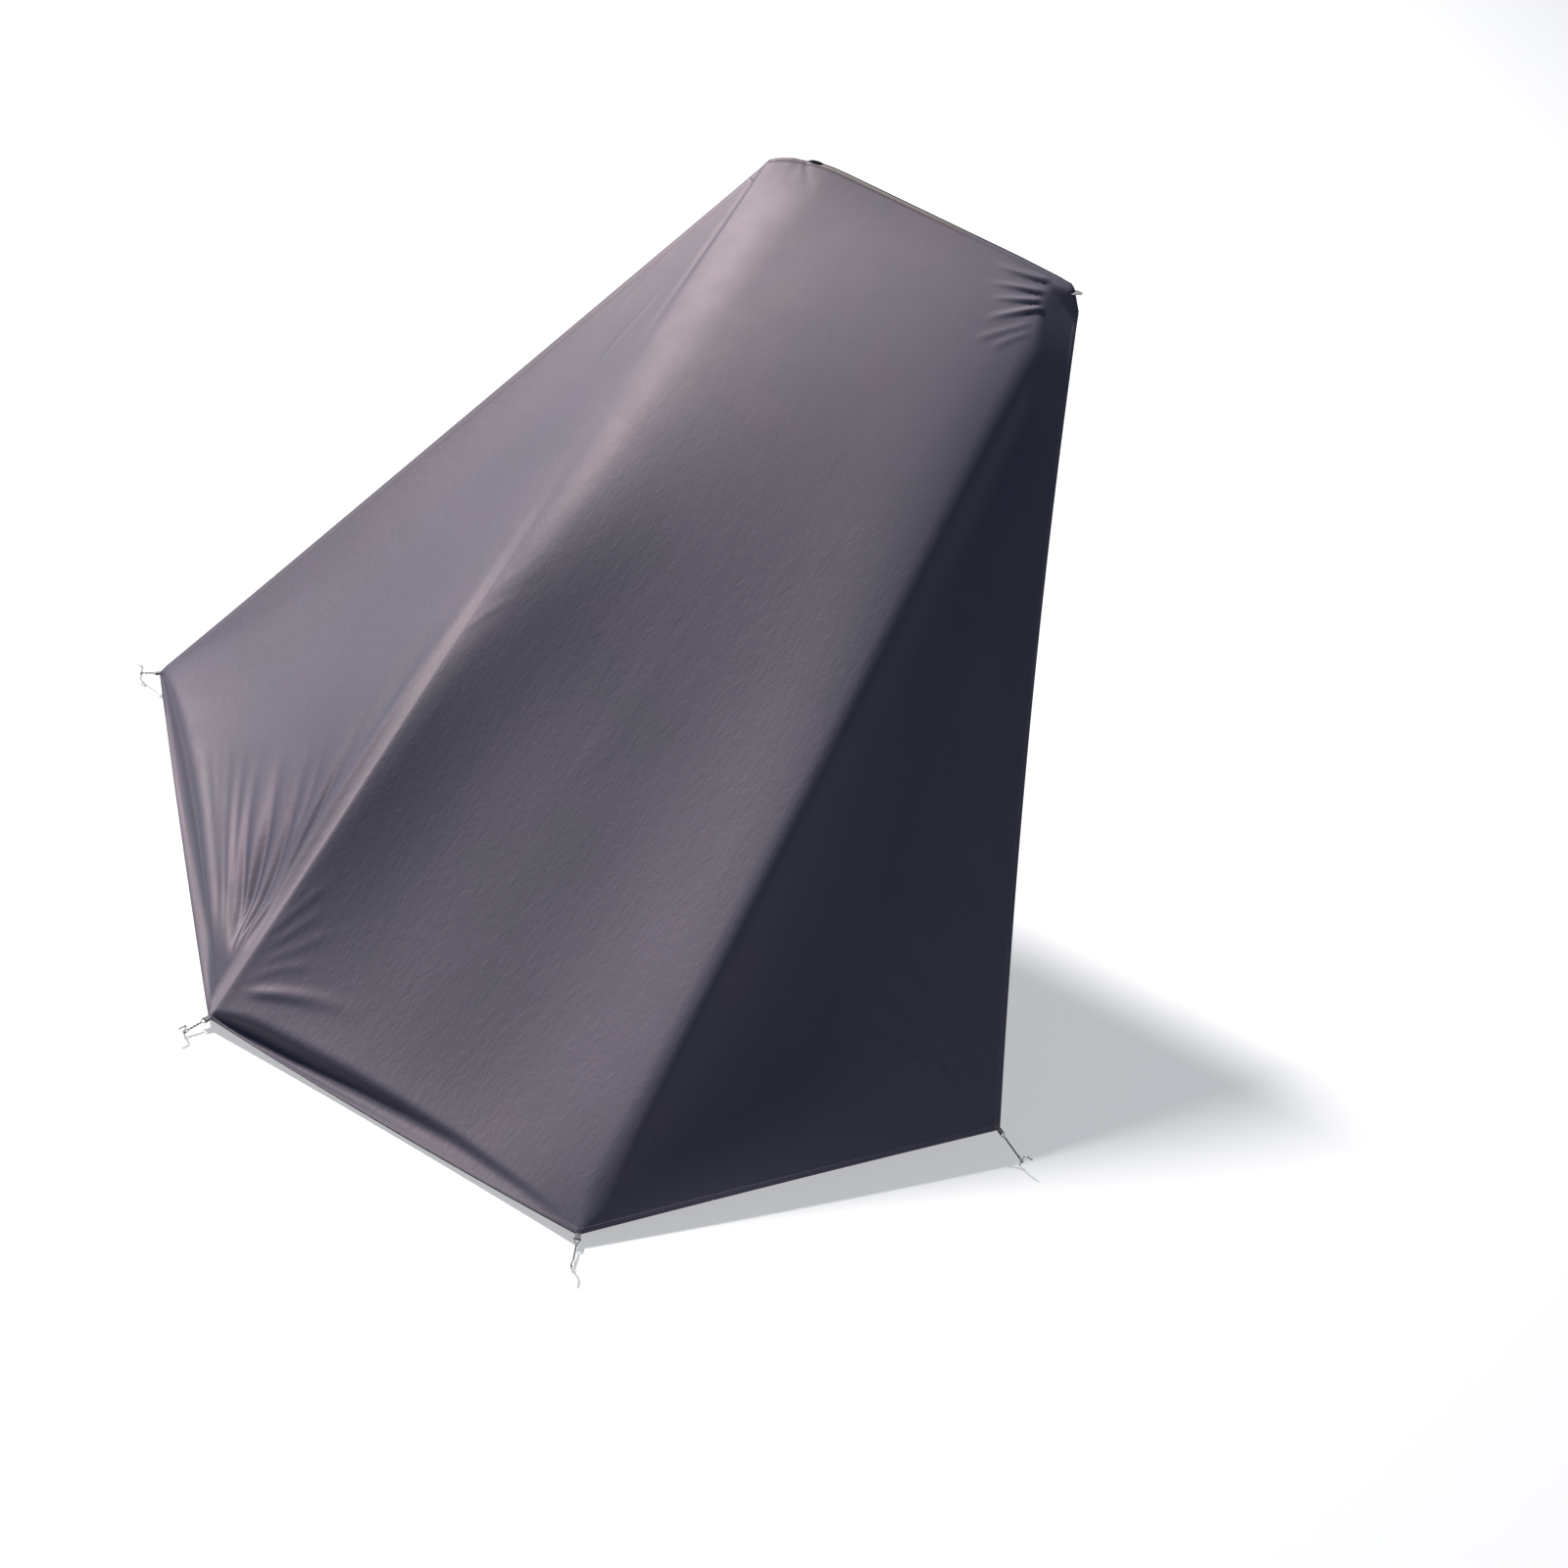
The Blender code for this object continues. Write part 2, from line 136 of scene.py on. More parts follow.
canopy = dict(
    clothThickness=0.001, groundGap=0.004,
    # half width of the turn over each ridge, from the top to the foot
    ridgeRound=dict(down=(0.0, 0.14, 0.40, 1.0), left=(0.008, 0.009, 0.012, 0.018),
                    right=(0.014, 0.040, 0.100, 0.060)),
    mostRound=0.45,                                # of the narrower panel beside the ridge, at most
    creaseRound=dict(left=0.95, right=0.80),       # share of the crown facet that its crease takes
    creaseStart=dict(left=0.20, right=0.015),      # half width of the crease at the tailgate, at most
    creaseGrow=0.25,                               # how much wider it may get with each metre down
    ridgeShift=dict(left=0.0, right=0.165),        # how far in a ridge is drawn below its crown corner
    shiftOver=(0.012, 0.020, 0.115),               # shares of the length: full at, fading from, fading over
    rearBow=dict(left=0.0, right=0.037),           # how far the open rear edges bow in
    groundDroop=dict(left=0.016, front=0.018, right=-0.006),
    calm=(0.12, 0.10),                             # how soon the sag begins in from the edges
    wingSag=dict(left=(0.013, 0.040, -0.026), right=(-0.017, 0.001, 0.041)),
)

# the front panel swells near the tailgate and sags lower down; across and down are shares of the panel. These
# values and wingSag began as a separate script's fit to how light the panels are in the photo, and were then
# rounded, and changed in part by hand
bellies = [
    dict(depth=-0.022, across=0.06, down=0.30, wide=0.30, long=0.16),
    dict(depth=-0.112, across=0.78, down=0.11, wide=0.68, long=0.60),
    dict(depth=0.115, across=0.69, down=0.92, wide=0.31, long=0.60),
    dict(depth=-0.060, across=0.01, down=0.47, wide=0.26, long=0.12),
    dict(depth=0.105, across=0.23, down=0.76, wide=0.33, long=0.30),
]


def unit(v):
    return v / np.maximum(np.linalg.norm(v, axis=-1, keepdims=True), 1e-12)


def planeNormal(a, b, c):
    n = unit(np.cross(b - a, c - a))
    return n if n[2] > 0 else -n


def ramp(x, w):
    # 0 below -w, x above w, and a smooth turn between them
    w = np.maximum(w, 1e-6)
    return np.where(x < -w, 0.0, np.where(x > w, x, (x + w) ** 2 / (4 * w)))


def smooth(x):
    x = np.clip(x, 0, 1)
    return x * x * (3 - 2 * x)


def softTable(x, places, values):
    # a rounded line through a few named values
    fine = np.linspace(places[0], places[-1], 241)
    line = np.interp(fine, places, values)
    window = np.hanning(27)
    padded = np.pad(line, len(window) // 2, mode="edge")
    return np.interp(x, fine, np.convolve(padded, window / window.sum(), mode="valid"))


middleFoot = (frontCorner["left"] + frontCorner["right"]) / 2
frontNormal = planeNormal(topCorner["left"], topCorner["right"], middleFoot)
frontLength = float(np.linalg.norm(middleFoot - (topCorner["left"] + topCorner["right"]) / 2))
wingNormal = {s: planeNormal(crownCorner[s], rearCorner[s], frontCorner[s]) for s in sides}
ridgeVector = {s: frontCorner[s] - crownCorner[s] for s in sides}
ridgeLength = {s: float(np.linalg.norm(ridgeVector[s])) for s in sides}
rearVector = {s: rearCorner[s] - crownCorner[s] for s in sides}
rearRow = {s: float(rearVector[s] @ unit(ridgeVector[s]) / ridgeLength[s]) for s in sides}
wingReach = {s: float(np.linalg.norm(np.cross(rearVector[s], unit(ridgeVector[s])))) for s in sides}


def ridgePoint(side, t):
    return crownCorner[side] + ridgeVector[side] * np.asarray(t)[..., None]


def frontLines(t):
    # the two ridges and the two top creases at t down, and the widths between them
    lines = [ridgePoint("left", t)]
    for side in sides:
        lines.append(topCorner[side] + (frontCorner[side] - topCorner[side]) * np.asarray(t)[..., None])
    lines.append(ridgePoint("right", t))
    return lines, [np.linalg.norm(b - a, axis=-1) for a, b in zip(lines, lines[1:])]


def frontWidth(t):
    return sum(frontLines(t)[1])


def frontSag(a, t):
    sag = np.zeros_like(a * t)
    for b in bellies:
        aside = (a - b["across"]) / b["wide"]
        below = (t - b["down"]) / b["long"]
        sag = sag + b["depth"] * np.exp(-aside ** 2 - below ** 2)
    for share, calm in ((a, canopy["calm"][0]), (t, canopy["calm"][1])):
        sag = sag * (1 - np.exp(-share / calm)) * (1 - np.exp(-(1 - share) / calm))
    return sag


def frontPoint(s, t):
    # s metres from the left ridge, t down
    lines, widths = frontLines(t)
    ways = [(b - a) / np.maximum(w, 1e-9)[..., None] for a, b, w in zip(lines, lines[1:], widths)]
    first, second, total = widths[0], widths[0] + widths[1], sum(widths)
    p = lines[0] + ways[0] * s[..., None]
    for n, (place, side, width) in enumerate(((first, "left", widths[0]), (second, "right", widths[2]))):
        most = canopy["creaseStart"][side] + canopy["creaseGrow"] * t * frontLength
        turn = np.maximum(np.minimum(canopy["creaseRound"][side] * width, most), 1e-4)
        p = p + (ways[n + 1] - ways[n]) * ramp(s - place, turn)[..., None]
    a = np.clip(s / total, 0, 1)
    droop = 4 * a * (1 - a) * t ** 6 * canopy["groundDroop"]["front"]
    return p - frontNormal * frontSag(a, t)[..., None] - np.array([0, 0, 1.0]) * droop[..., None]


def wingWidth(side, t):
    r = rearRow[side]
    return wingReach[side] * np.where(t < r, t / r, (1 - t) / (1 - r))


def wingPoint(side, k, t):
    # k from the ridge, 0, to the outer edge, 1, square to the ridge at t down
    r = rearRow[side]
    upper = np.minimum(t / r, 1.0)
    lower = np.maximum((t - r) / (1 - r), 0.0)
    rear = k * upper * (1 - lower)
    crown = (1 - k) * (1 - t) + k * (1 - upper)
    front = (1 - k) * t + k * lower
    # in the middle of the wing the three values of wingSag add up
    w = canopy["wingSag"][side]
    sag = 81 * crown * rear * front * (w[0] * crown + w[1] * rear + w[2] * front)
    crown, rear, front = crown[..., None], rear[..., None], front[..., None]
    p = crownCorner[side] * crown + rearCorner[side] * rear + frontCorner[side] * front
    inward = np.cross(wingNormal[side], unit(rearVector[side]))
    if inward @ ridgeVector[side] < 0:
        inward = -inward
    p = p + inward * canopy["rearBow"][side] * 4 * crown * rear - wingNormal[side] * sag[..., None]
    return p - np.array([0, 0, 1.0]) * canopy["groundDroop"][side] * 4 * rear * front


# folds are ridges and hollows of the cloth, one list for each panel. A path is metres out from the panel's
# ridge (on the front panel, in from the left ridge) and metres down it: most were traced by hand on the
# photo, in pixels, and a separate script turned them into these metres. Width is at the path's two ends,
# and fade is the share of it over which the fold grows and over which it dies out
folds = dict(
    left=[
        # the fan above the front left peg: a broad hollow with creases between puffed folds
        dict(height=-0.042, width=(0.050, 0.180), fade=(0.25, 0.7),
             path=((0.060, 3.450), (0.140, 3.150), (0.210, 2.850), (0.300, 2.350))),
        dict(height=-0.004, width=(0.007, 0.018),
             path=((0.130, 3.430), (0.358, 3.163), (0.600, 2.933), (0.775, 2.776))),
        dict(height=-0.003, width=(0.006, 0.016),
             path=((0.110, 3.440), (0.340, 3.159), (0.560, 2.923), (0.741, 2.745))),
        dict(height=-0.004, width=(0.007, 0.018),
             path=((0.100, 3.430), (0.318, 3.154), (0.524, 2.915), (0.684, 2.730))),
        dict(height=-0.006, width=(0.007, 0.020),
             path=((0.080, 3.430), (0.235, 3.211), (0.414, 2.979), (0.617, 2.714))),
        dict(height=-0.014, width=(0.008, 0.026), fade=(0.2, 0.6),
             path=((0.050, 3.470), (0.132, 3.313), (0.231, 3.180), (0.318, 3.038), (0.414, 2.891),
                   (0.560, 2.660))),
        dict(height=-0.016, width=(0.008, 0.023), fade=(0.2, 0.6),
             path=((0.042, 3.470), (0.116, 3.309), (0.180, 3.170), (0.244, 3.021), (0.325, 2.871),
                   (0.470, 2.640))),
        dict(height=-0.017, width=(0.008, 0.021), fade=(0.2, 0.6),
             path=((0.034, 3.470), (0.088, 3.301), (0.125, 3.152), (0.172, 3.007), (0.232, 2.853),
                   (0.350, 2.600))),
        dict(height=-0.008, width=(0.010, 0.016), fade=(0.3, 0.6),
             path=((0.143, 2.999), (0.175, 2.841), (0.250, 2.650))),
        dict(height=-0.016, width=(0.008, 0.019), fade=(0.2, 0.5),
             path=((0.024, 3.440), (0.043, 3.288), (0.064, 3.130), (0.090, 2.980), (0.112, 2.820),
                   (0.146, 2.590), (0.180, 2.367))),
        # the puffed strip that runs down beside the lower ridge
        dict(height=0.012, width=(0.014, 0.034), fade=(0.3, 0.5),
             path=((0.020, 3.500), (0.036, 3.150), (0.044, 2.850), (0.048, 2.500), (0.046, 2.150),
                   (0.038, 1.800))),
        dict(height=-0.007, width=(0.012, 0.036), fade=(0.25, 0.6),
             path=((0.040, 3.450), (0.085, 3.050), (0.105, 2.700), (0.110, 2.350), (0.104, 2.000))),
        dict(height=-0.004, width=(0.010, 0.018),
             path=((0.081, 2.928), (0.078, 2.708), (0.082, 2.486), (0.099, 2.217))),
        # soft pulls below the crown
        dict(height=-0.0035, width=(0.009, 0.016), fade=(0.05, 0.6),
             path=((0.012, 0.010), (0.022, 0.300), (0.034, 0.620), (0.044, 1.000))),
        dict(height=0.002, width=(0.008, 0.010),
             path=((0.175, 0.440), (0.233, 0.644), (0.298, 0.874))),
        dict(height=0.002, width=(0.008, 0.010),
             path=((0.112, 0.594), (0.140, 0.753), (0.169, 0.860), (0.192, 1.024))),
    ],
    front=[
        # the crease that runs in from the left crown
        dict(height=-0.0045, width=(0.006, 0.014), fade=(0.02, 0.7),
             path=((0.132, -0.030), (0.160, 0.030), (0.200, 0.085), (0.262, 0.150))),
        # the pulls at the top right corner
        dict(height=0.011, width=(0.0075, 0.011), fade=(0.15, 0.8),
             path=((1.150, 0.026), (1.032, 0.054), (0.915, 0.065))),
        dict(height=0.011, width=(0.0075, 0.011), fade=(0.15, 0.8),
             path=((1.156, 0.074), (1.075, 0.103), (1.008, 0.126), (0.926, 0.161))),
        dict(height=0.011, width=(0.0075, 0.010), fade=(0.15, 0.8),
             path=((1.159, 0.112), (1.096, 0.147), (1.033, 0.180), (0.980, 0.206))),
        dict(height=0.011, width=(0.0075, 0.011), fade=(0.15, 0.8),
             path=((1.181, 0.128), (1.116, 0.189), (1.050, 0.254), (1.007, 0.301))),
        dict(height=0.003, width=(0.009, 0.012),
             path=((1.168, 0.204), (1.118, 0.272), (1.056, 0.345), (1.015, 0.403))),
        dict(height=0.0025, width=(0.009, 0.012),
             path=((1.186, 0.242), (1.124, 0.325), (1.073, 0.409))),
        # short pulls at the front left corner
        dict(height=0.002, width=(0.009, 0.016),
             path=((0.030, 3.585), (0.090, 3.505), (0.150, 3.450), (0.240, 3.385))),
        dict(height=0.008, width=(0.012, 0.030), fade=(0.3, 0.7),
             path=((0.040, 3.620), (0.140, 3.560), (0.280, 3.500), (0.450, 3.470))),
        dict(height=0.002, width=(0.008, 0.012),
             path=((0.020, 3.420), (0.057, 3.267), (0.100, 3.140))),
        dict(height=0.002, width=(0.008, 0.011),
             path=((0.035, 3.450), (0.087, 3.335), (0.130, 3.240))),
        dict(height=0.0017, width=(0.009, 0.014),
             path=((0.040, 3.520), (0.100, 3.425), (0.150, 3.345), (0.215, 3.250))),
        # puckers beside the middle of the left ridge, and two long soft lines
        dict(height=0.0025, width=(0.006, 0.009),
             path=((0.004, 2.010), (0.056, 1.950), (0.098, 1.873), (0.133, 1.789))),
        dict(height=0.0025, width=(0.006, 0.009),
             path=((0.004, 2.049), (0.068, 1.984), (0.120, 1.912), (0.163, 1.821))),
        dict(height=0.0025, width=(0.006, 0.009),
             path=((0.012, 2.200), (0.034, 2.130), (0.078, 2.062), (0.129, 1.994))),
        dict(height=0.0012, width=(0.012, 0.012),
             path=((0.583, 1.802), (0.605, 2.076), (0.598, 2.322), (0.588, 2.528))),
        dict(height=0.0012, width=(0.012, 0.012),
             path=((0.626, 1.798), (0.648, 2.072), (0.641, 2.318), (0.631, 2.523))),
    ],
    right=[
        # faint pulls at the rear right peg
        dict(height=-0.008, width=(0.012, 0.022),
             path=((1.058, 2.533), (0.946, 2.486), (0.675, 2.345), (0.430, 2.228))),
        dict(height=-0.008, width=(0.012, 0.022),
             path=((1.059, 2.609), (0.852, 2.557), (0.632, 2.474), (0.418, 2.404))),
        dict(height=-0.007, width=(0.012, 0.022),
             path=((0.900, 2.615), (0.792, 2.600), (0.639, 2.584), (0.486, 2.563))),
    ],
)
plainFade = (0.25, 0.4)                            # of a fold that states none

# the top border stands up past its corners: metres along it from the left ridge, and how far it is raised
topBorder = dict(along=(0.0, 0.03, 0.09, 0.125, 0.17, 0.30, 1.00, 1.16, 1.215, 1.235, 1.30),
                 raised=(0.006, 0.012, 0.013, 0.009, 0.011, 0.015, 0.016, 0.012, 0.007, 0.003, 0.0),
                 reach=0.16)

# along a ground edge, in metres: how far in from it the lip's valley and the rolled crest lie, how deep the
# valley is and how high the crest
groundFolds = dict(
    left=dict(along=(0.0, 0.13, 0.33, 0.57, 0.82, 1.06, 1.30, 1.50, 1.63),
              valley=(0.003, 0.004, 0.008, 0.016, 0.027, 0.038, 0.045, 0.020, 0.008),
              crest=(0.030, 0.072, 0.106, 0.125, 0.128, 0.112, 0.090, 0.060, 0.030),
              depth=(0.0, 0.001, 0.002, 0.003, 0.005, 0.009, 0.013, 0.005, 0.0),
              bulge=(0.0, 0.034, 0.052, 0.062, 0.062, 0.056, 0.042, 0.012, 0.0), fade=0.30, ridgeFade=0.06),
    front=dict(along=(0.0, 0.108, 0.27, 0.475, 0.68, 0.88, 1.085, 1.25, 1.30, 1.356),
               valley=(0.003, 0.004, 0.012, 0.027, 0.040, 0.049, 0.035, 0.020, 0.010, 0.004),
               crest=(0.030, 0.082, 0.100, 0.115, 0.112, 0.103, 0.076, 0.050, 0.030, 0.015),
               depth=(0.004, 0.016, 0.021, 0.021, 0.017, 0.010, 0.006, 0.001, 0.0, 0.0),
               bulge=(0.002, 0.014, 0.014, 0.012, 0.009, 0.006, 0.003, 0.001, 0.0, 0.0), fade=0.13),
)
# the cloth swells just inside the left rear edge; ridgeFade is how far from the ridge a swell is whole
rearSwell = dict(along=(0.0, 0.80, 1.35, 1.75, 2.45, 2.75, 2.87),
                 height=(0.0, 0.0, 0.014, 0.021, 0.018, 0.005, 0.0), fade=0.12, ridgeFade=1.10)


def wingCorners(side):
    # the corners of a wing laid flat: metres out from the ridge, metres down it
    return dict(crown=(0.0, 0.0), front=(0.0, ridgeLength[side]),
                rear=(wingReach[side], rearRow[side] * ridgeLength[side]))


def edgeDistance(side, x, t, ends):
    corners = wingCorners(side)
    (ax, ay), (bx, by) = corners[ends[0]], corners[ends[1]]
    y = t * ridgeLength[side]
    length = math.hypot(bx - ax, by - ay)
    ux, uy = (bx - ax) / length, (by - ay) / length
    return np.abs((x - ax) * uy - (y - ay) * ux), (x - ax) * ux + (y - ay) * uy


def pathField(path, x, y, steps=24):
    # distance from a smooth path and the share of it that lies behind
    p = np.array(path, float)
    n = len(p)
    u = np.linspace(0, n - 1, steps + 1)
    px, py = (np.polyval(np.polyfit(range(n), p[:, i], min(n - 1, 3)), u) for i in (0, 1))
    near = np.full(x.shape, np.inf)
    share = np.zeros(x.shape)
    for i in range(steps):
        dx, dy = px[i + 1] - px[i], py[i + 1] - py[i]
        s = np.clip(((x - px[i]) * dx + (y - py[i]) * dy) / (dx * dx + dy * dy), 0, 1)
        d = np.hypot(x - px[i] - s * dx, y - py[i] - s * dy)
        share = np.where(d < near, (i + s) / steps, share)
        near = np.minimum(near, d)
    return near, share


def groundFold(f, away, along):
    names = ("valley", "crest", "depth", "bulge")
    valley, crest, depth, bulge = (softTable(along, f["along"], f[name]) for name in names)
    wall = np.maximum(crest - valley, 0.004)
    low = -depth * smooth(away / np.maximum(valley, 1e-3))
    rise = smooth(smooth((away - valley) / wall))
    high = bulge * np.exp(-np.maximum(away - crest, 0) / f["fade"])
    return low * (1 - rise) + high * rise


def foldHeight(panel, x, t):
    height = np.zeros_like(x * t)
    y = t * (frontLength if panel == "front" else ridgeLength[panel])
    for f in folds[panel]:
        near, share = pathField(f["path"], x, y)
        width = f["width"][0] + (f["width"][1] - f["width"][0]) * share
        grow, fade = f.get("fade", plainFade)
        taper = smooth(share / grow) * smooth((1 - share) / fade)
        height = height + f["height"] * taper * np.exp(-(near / width) ** 2)
    ground = groundFolds.get(panel)
    if panel == "front":
        height = height + groundFold(ground, (1 - t) * frontLength, x * ground["along"][-1] / frontWidth(t))
    elif panel == "left":
        away, along = edgeDistance(panel, x, t, ("rear", "front"))
        swell = groundFold(ground, away, along) * smooth(x / ground["ridgeFade"])
        r = rearSwell
        away, along = edgeDistance(panel, x, t, ("crown", "rear"))
        rear = softTable(along, r["along"], r["height"]) * (1 - np.exp(-away / r["fade"]))
        height = height + swell + rear * smooth(x / r["ridgeFade"])
    return height


def canopyPoint(panel, x, t, lift=0.0):
    # x is metres from the panel's ridge, which for the front is the left one
    x, t = np.broadcast_arrays(np.asarray(x, float), np.asarray(t, float))
    total = frontWidth(t)
    s = {"left": -x, "front": x, "right": total + x}[panel]
    full, fades, over = canopy["shiftOver"]
    drawnIn = smooth(t / full) * (1 - smooth((t - fades) / over))
    widths = {side: wingWidth(side, t) + canopy["ridgeShift"][side] * drawnIn for side in sides}
    turn = {}
    for side in sides:
        roundness = np.interp(t, canopy["ridgeRound"]["down"], canopy["ridgeRound"][side])
        turn[side] = np.minimum(roundness, canopy["mostRound"] * np.minimum(widths[side], total))
    last = total - canopy["ridgeShift"]["right"] * drawnIn
    inner = ramp(s, turn["left"])
    inner = last - ramp(last - inner, turn["right"])
    p = frontPoint(inner, t)
    normal = frontNormal + np.zeros_like(p)
    for side, out in (("left", -s), ("right", s - last)):
        reach = ramp(out, turn[side])
        k = np.clip(reach / np.maximum(widths[side], 1e-9), 0, 1)
        p = p + (wingPoint(side, k, t) - ridgePoint(side, t))
        if canopy["ridgeShift"][side]:
            p = p + (frontPoint(total, t) - frontPoint(last, t)) * k[..., None]
        blend = smooth(0.5 + out / np.maximum(2 * turn[side], 1e-4))[..., None]
        normal = normal * (1 - blend) + wingNormal[side] * blend
    normal = unit(normal)
    raised = np.interp(s, topBorder["along"], topBorder["raised"])
    raised = raised * np.maximum(1 - t * frontLength / topBorder["reach"], 0) ** 2
    height = foldHeight(panel, x, t) + lift
    return p + normal * height[..., None] + np.array([0, 0, 1.0]) * raised[..., None]


def spread(count, *densities):
    # shares from 0 to 1, closer together where the density is higher
    places, values = zip(*densities)
    fine = np.linspace(0, 1, 2001)
    travel = np.concatenate([[0], np.cumsum(np.interp((fine[1:] + fine[:-1]) / 2, places, values))])
    return np.interp(np.linspace(0, travel[-1], count + 1), travel, fine)


def newObject(name, verts, faces, material, uv=None):
    mesh = bpy.data.meshes.new(name)
    mesh.from_pydata(verts.reshape(-1, 3).tolist(), [], faces.tolist())
    if uv is not None:
        layer = mesh.uv_layers.new(name="cloth")
        layer.data.foreach_set("uv", uv.reshape(-1, 2)[faces.reshape(-1)].astype(np.float32).ravel())
    mesh.materials.append(material)
    mesh.polygons.foreach_set("use_smooth", [True] * len(mesh.polygons))
    obj = bpy.data.objects.new(name, mesh)
    scene.collection.objects.link(obj)
    return obj


def gridFaces(rows, columns):
    index = np.arange(rows * columns).reshape(rows, columns)
    return np.stack([index[:-1, :-1], index[1:, :-1], index[1:, 1:], index[:-1, 1:]], axis=-1).reshape(-1, 4)


def cleanMesh(obj, distance, thin=0.0, fill=False):
    # joins doubled points, drops faces thinner than thin, closes holes if asked and turns the faces outward
    bm = bmesh.new()
    bm.from_mesh(obj.data)
    bmesh.ops.remove_doubles(bm, verts=bm.verts, dist=distance)
    if thin:
        bmesh.ops.dissolve_degenerate(bm, edges=bm.edges, dist=thin)
    if fill:
        bmesh.ops.holes_fill(bm, edges=[e for e in bm.edges if e.is_boundary], sides=0)
    bmesh.ops.recalc_face_normals(bm, faces=bm.faces)
    bm.to_mesh(obj.data)
    bm.free()


def applyModifier(obj, kind, **settings):
    bpy.ops.object.select_all(action="DESELECT")
    obj.select_set(True)
    bpy.context.view_layer.objects.active = obj
    modifier = obj.modifiers.new(kind.title(), kind)
    for key, value in settings.items():
        setattr(modifier, key, value)
    bpy.ops.object.modifier_apply(modifier=modifier.name)


def sweep(name, rings, material, along, around, closed=False):
    # a tube or band: each row of points is one section; along and around are its cloth measures,
    # around with one value more than the section has points; an open one is capped at its ends
    rings = np.concatenate([rings, rings[:, :1]], axis=1)
    if closed:
        rings = np.concatenate([rings, rings[:1]])
    uv = np.stack(np.broadcast_arrays(np.reshape(along, (-1, 1)), np.reshape(around, (1, -1))), -1)
    obj = newObject(name, rings, gridFaces(*rings.shape[:2]), material, uv)
    cleanMesh(obj, 1e-7, fill=not closed)
    return obj


def tubeRings(path, radius, around=10):
    # round sections square to a path, carried along it without twist
    path = np.asarray(path, float)
    way = unit(np.gradient(path, axis=0))
    side = unit(np.cross(way[0], (0.3, 0.2, 1.0)))
    rings = []
    angles = np.linspace(0, 2 * math.pi, around, endpoint=False)[:, None]
    radii = np.broadcast_to(radius, len(path))
    for point, along, r in zip(path, way, radii):
        side = unit(side - along * (side @ along))
        rings.append(point + r * (np.cos(angles) * side + np.sin(angles) * np.cross(along, side)))
    return np.array(rings)


def loopTravel(path):
    # the way along a closed path up to each of its points, and back to the first
    steps = np.linalg.norm(np.diff(np.concatenate([path, path[:1]]), axis=0), axis=1)
    return np.concatenate([[0], np.cumsum(steps)])


def newMaterial(name, colour, roughness, metallic=0.0):
    material = bpy.data.materials.new(name)
    material.use_nodes = True
    shader = material.node_tree.nodes["Principled BSDF"]
    shader.inputs["Base Color"].default_value = (*colour, 1)
    shader.inputs["Roughness"].default_value = roughness
    shader.inputs["Metallic"].default_value = metallic
    return material, material.node_tree, shader


def addNode(tree, kind, inputs=None, **settings):
    n = tree.nodes.new("ShaderNode" + kind)
    for key, value in settings.items():
        setattr(n, key, value)
    for key, value in (inputs or {}).items():
        if isinstance(value, bpy.types.NodeSocket):
            tree.links.new(value, n.inputs[key])
        else:
            n.inputs[key].default_value = value
    return n


def clothPlace(tree, down=1.0):
    # places on the cloth, in metres; a texture is drawn out along it where down is less than 1
    uv = addNode(tree, "UVMap", uv_map="cloth")
    return addNode(tree, "Mapping", {0: uv.outputs[0], "Scale": (1.0, down, 1.0)}).outputs[0]


def clothAxes(tree):
    # the two measures of the cloth apart, as sockets
    return addNode(tree, "SeparateXYZ", {0: addNode(tree, "UVMap", uv_map="cloth").outputs[0]}).outputs


def noise(tree, scale, detail, down=1.0, distortion=0.0):
    inputs = {"Vector": clothPlace(tree, down), "Scale": scale, "Detail": detail, "Distortion": distortion}
    return addNode(tree, "TexNoise", inputs).outputs[0]


def stripes(tree, scale, way, down=1.0, distortion=0.0):
    inputs = {"Vector": clothPlace(tree, down), "Scale": scale, "Distortion": distortion}
    return addNode(tree, "TexWave", inputs, bands_direction=way).outputs["Fac"]


def rampBetween(tree, value, low, high, start=0.0, end=1.0):
    inputs = {"Value": value, "From Min": low, "From Max": high, "To Min": start, "To Max": end}
    return addNode(tree, "MapRange", inputs, interpolation_type="SMOOTHSTEP").outputs[0]


def maths(tree, operation, a, b):
    return addNode(tree, "Math", {0: a, 1: b}, operation=operation).outputs[0]


def mixColours(tree, factor, a, b):
    n = addNode(tree, "Mix", {"Factor": factor}, data_type="RGBA")
    for socket, colour in ((n.inputs[6], a), (n.inputs[7], b)):
        if isinstance(colour, bpy.types.NodeSocket):
            tree.links.new(colour, socket)
        else:
            socket.default_value = (*colour, 1)
    return n.outputs[2]


def bumpLayers(tree, shader, *layers):
    normal = None
    for height, distance in layers:
        inputs = {"Height": height, "Distance": distance, "Strength": 1.0}
        if normal is not None:
            inputs["Normal"] = normal
        normal = addNode(tree, "Bump", inputs).outputs[0]
    tree.links.new(normal, shader.inputs["Normal"])


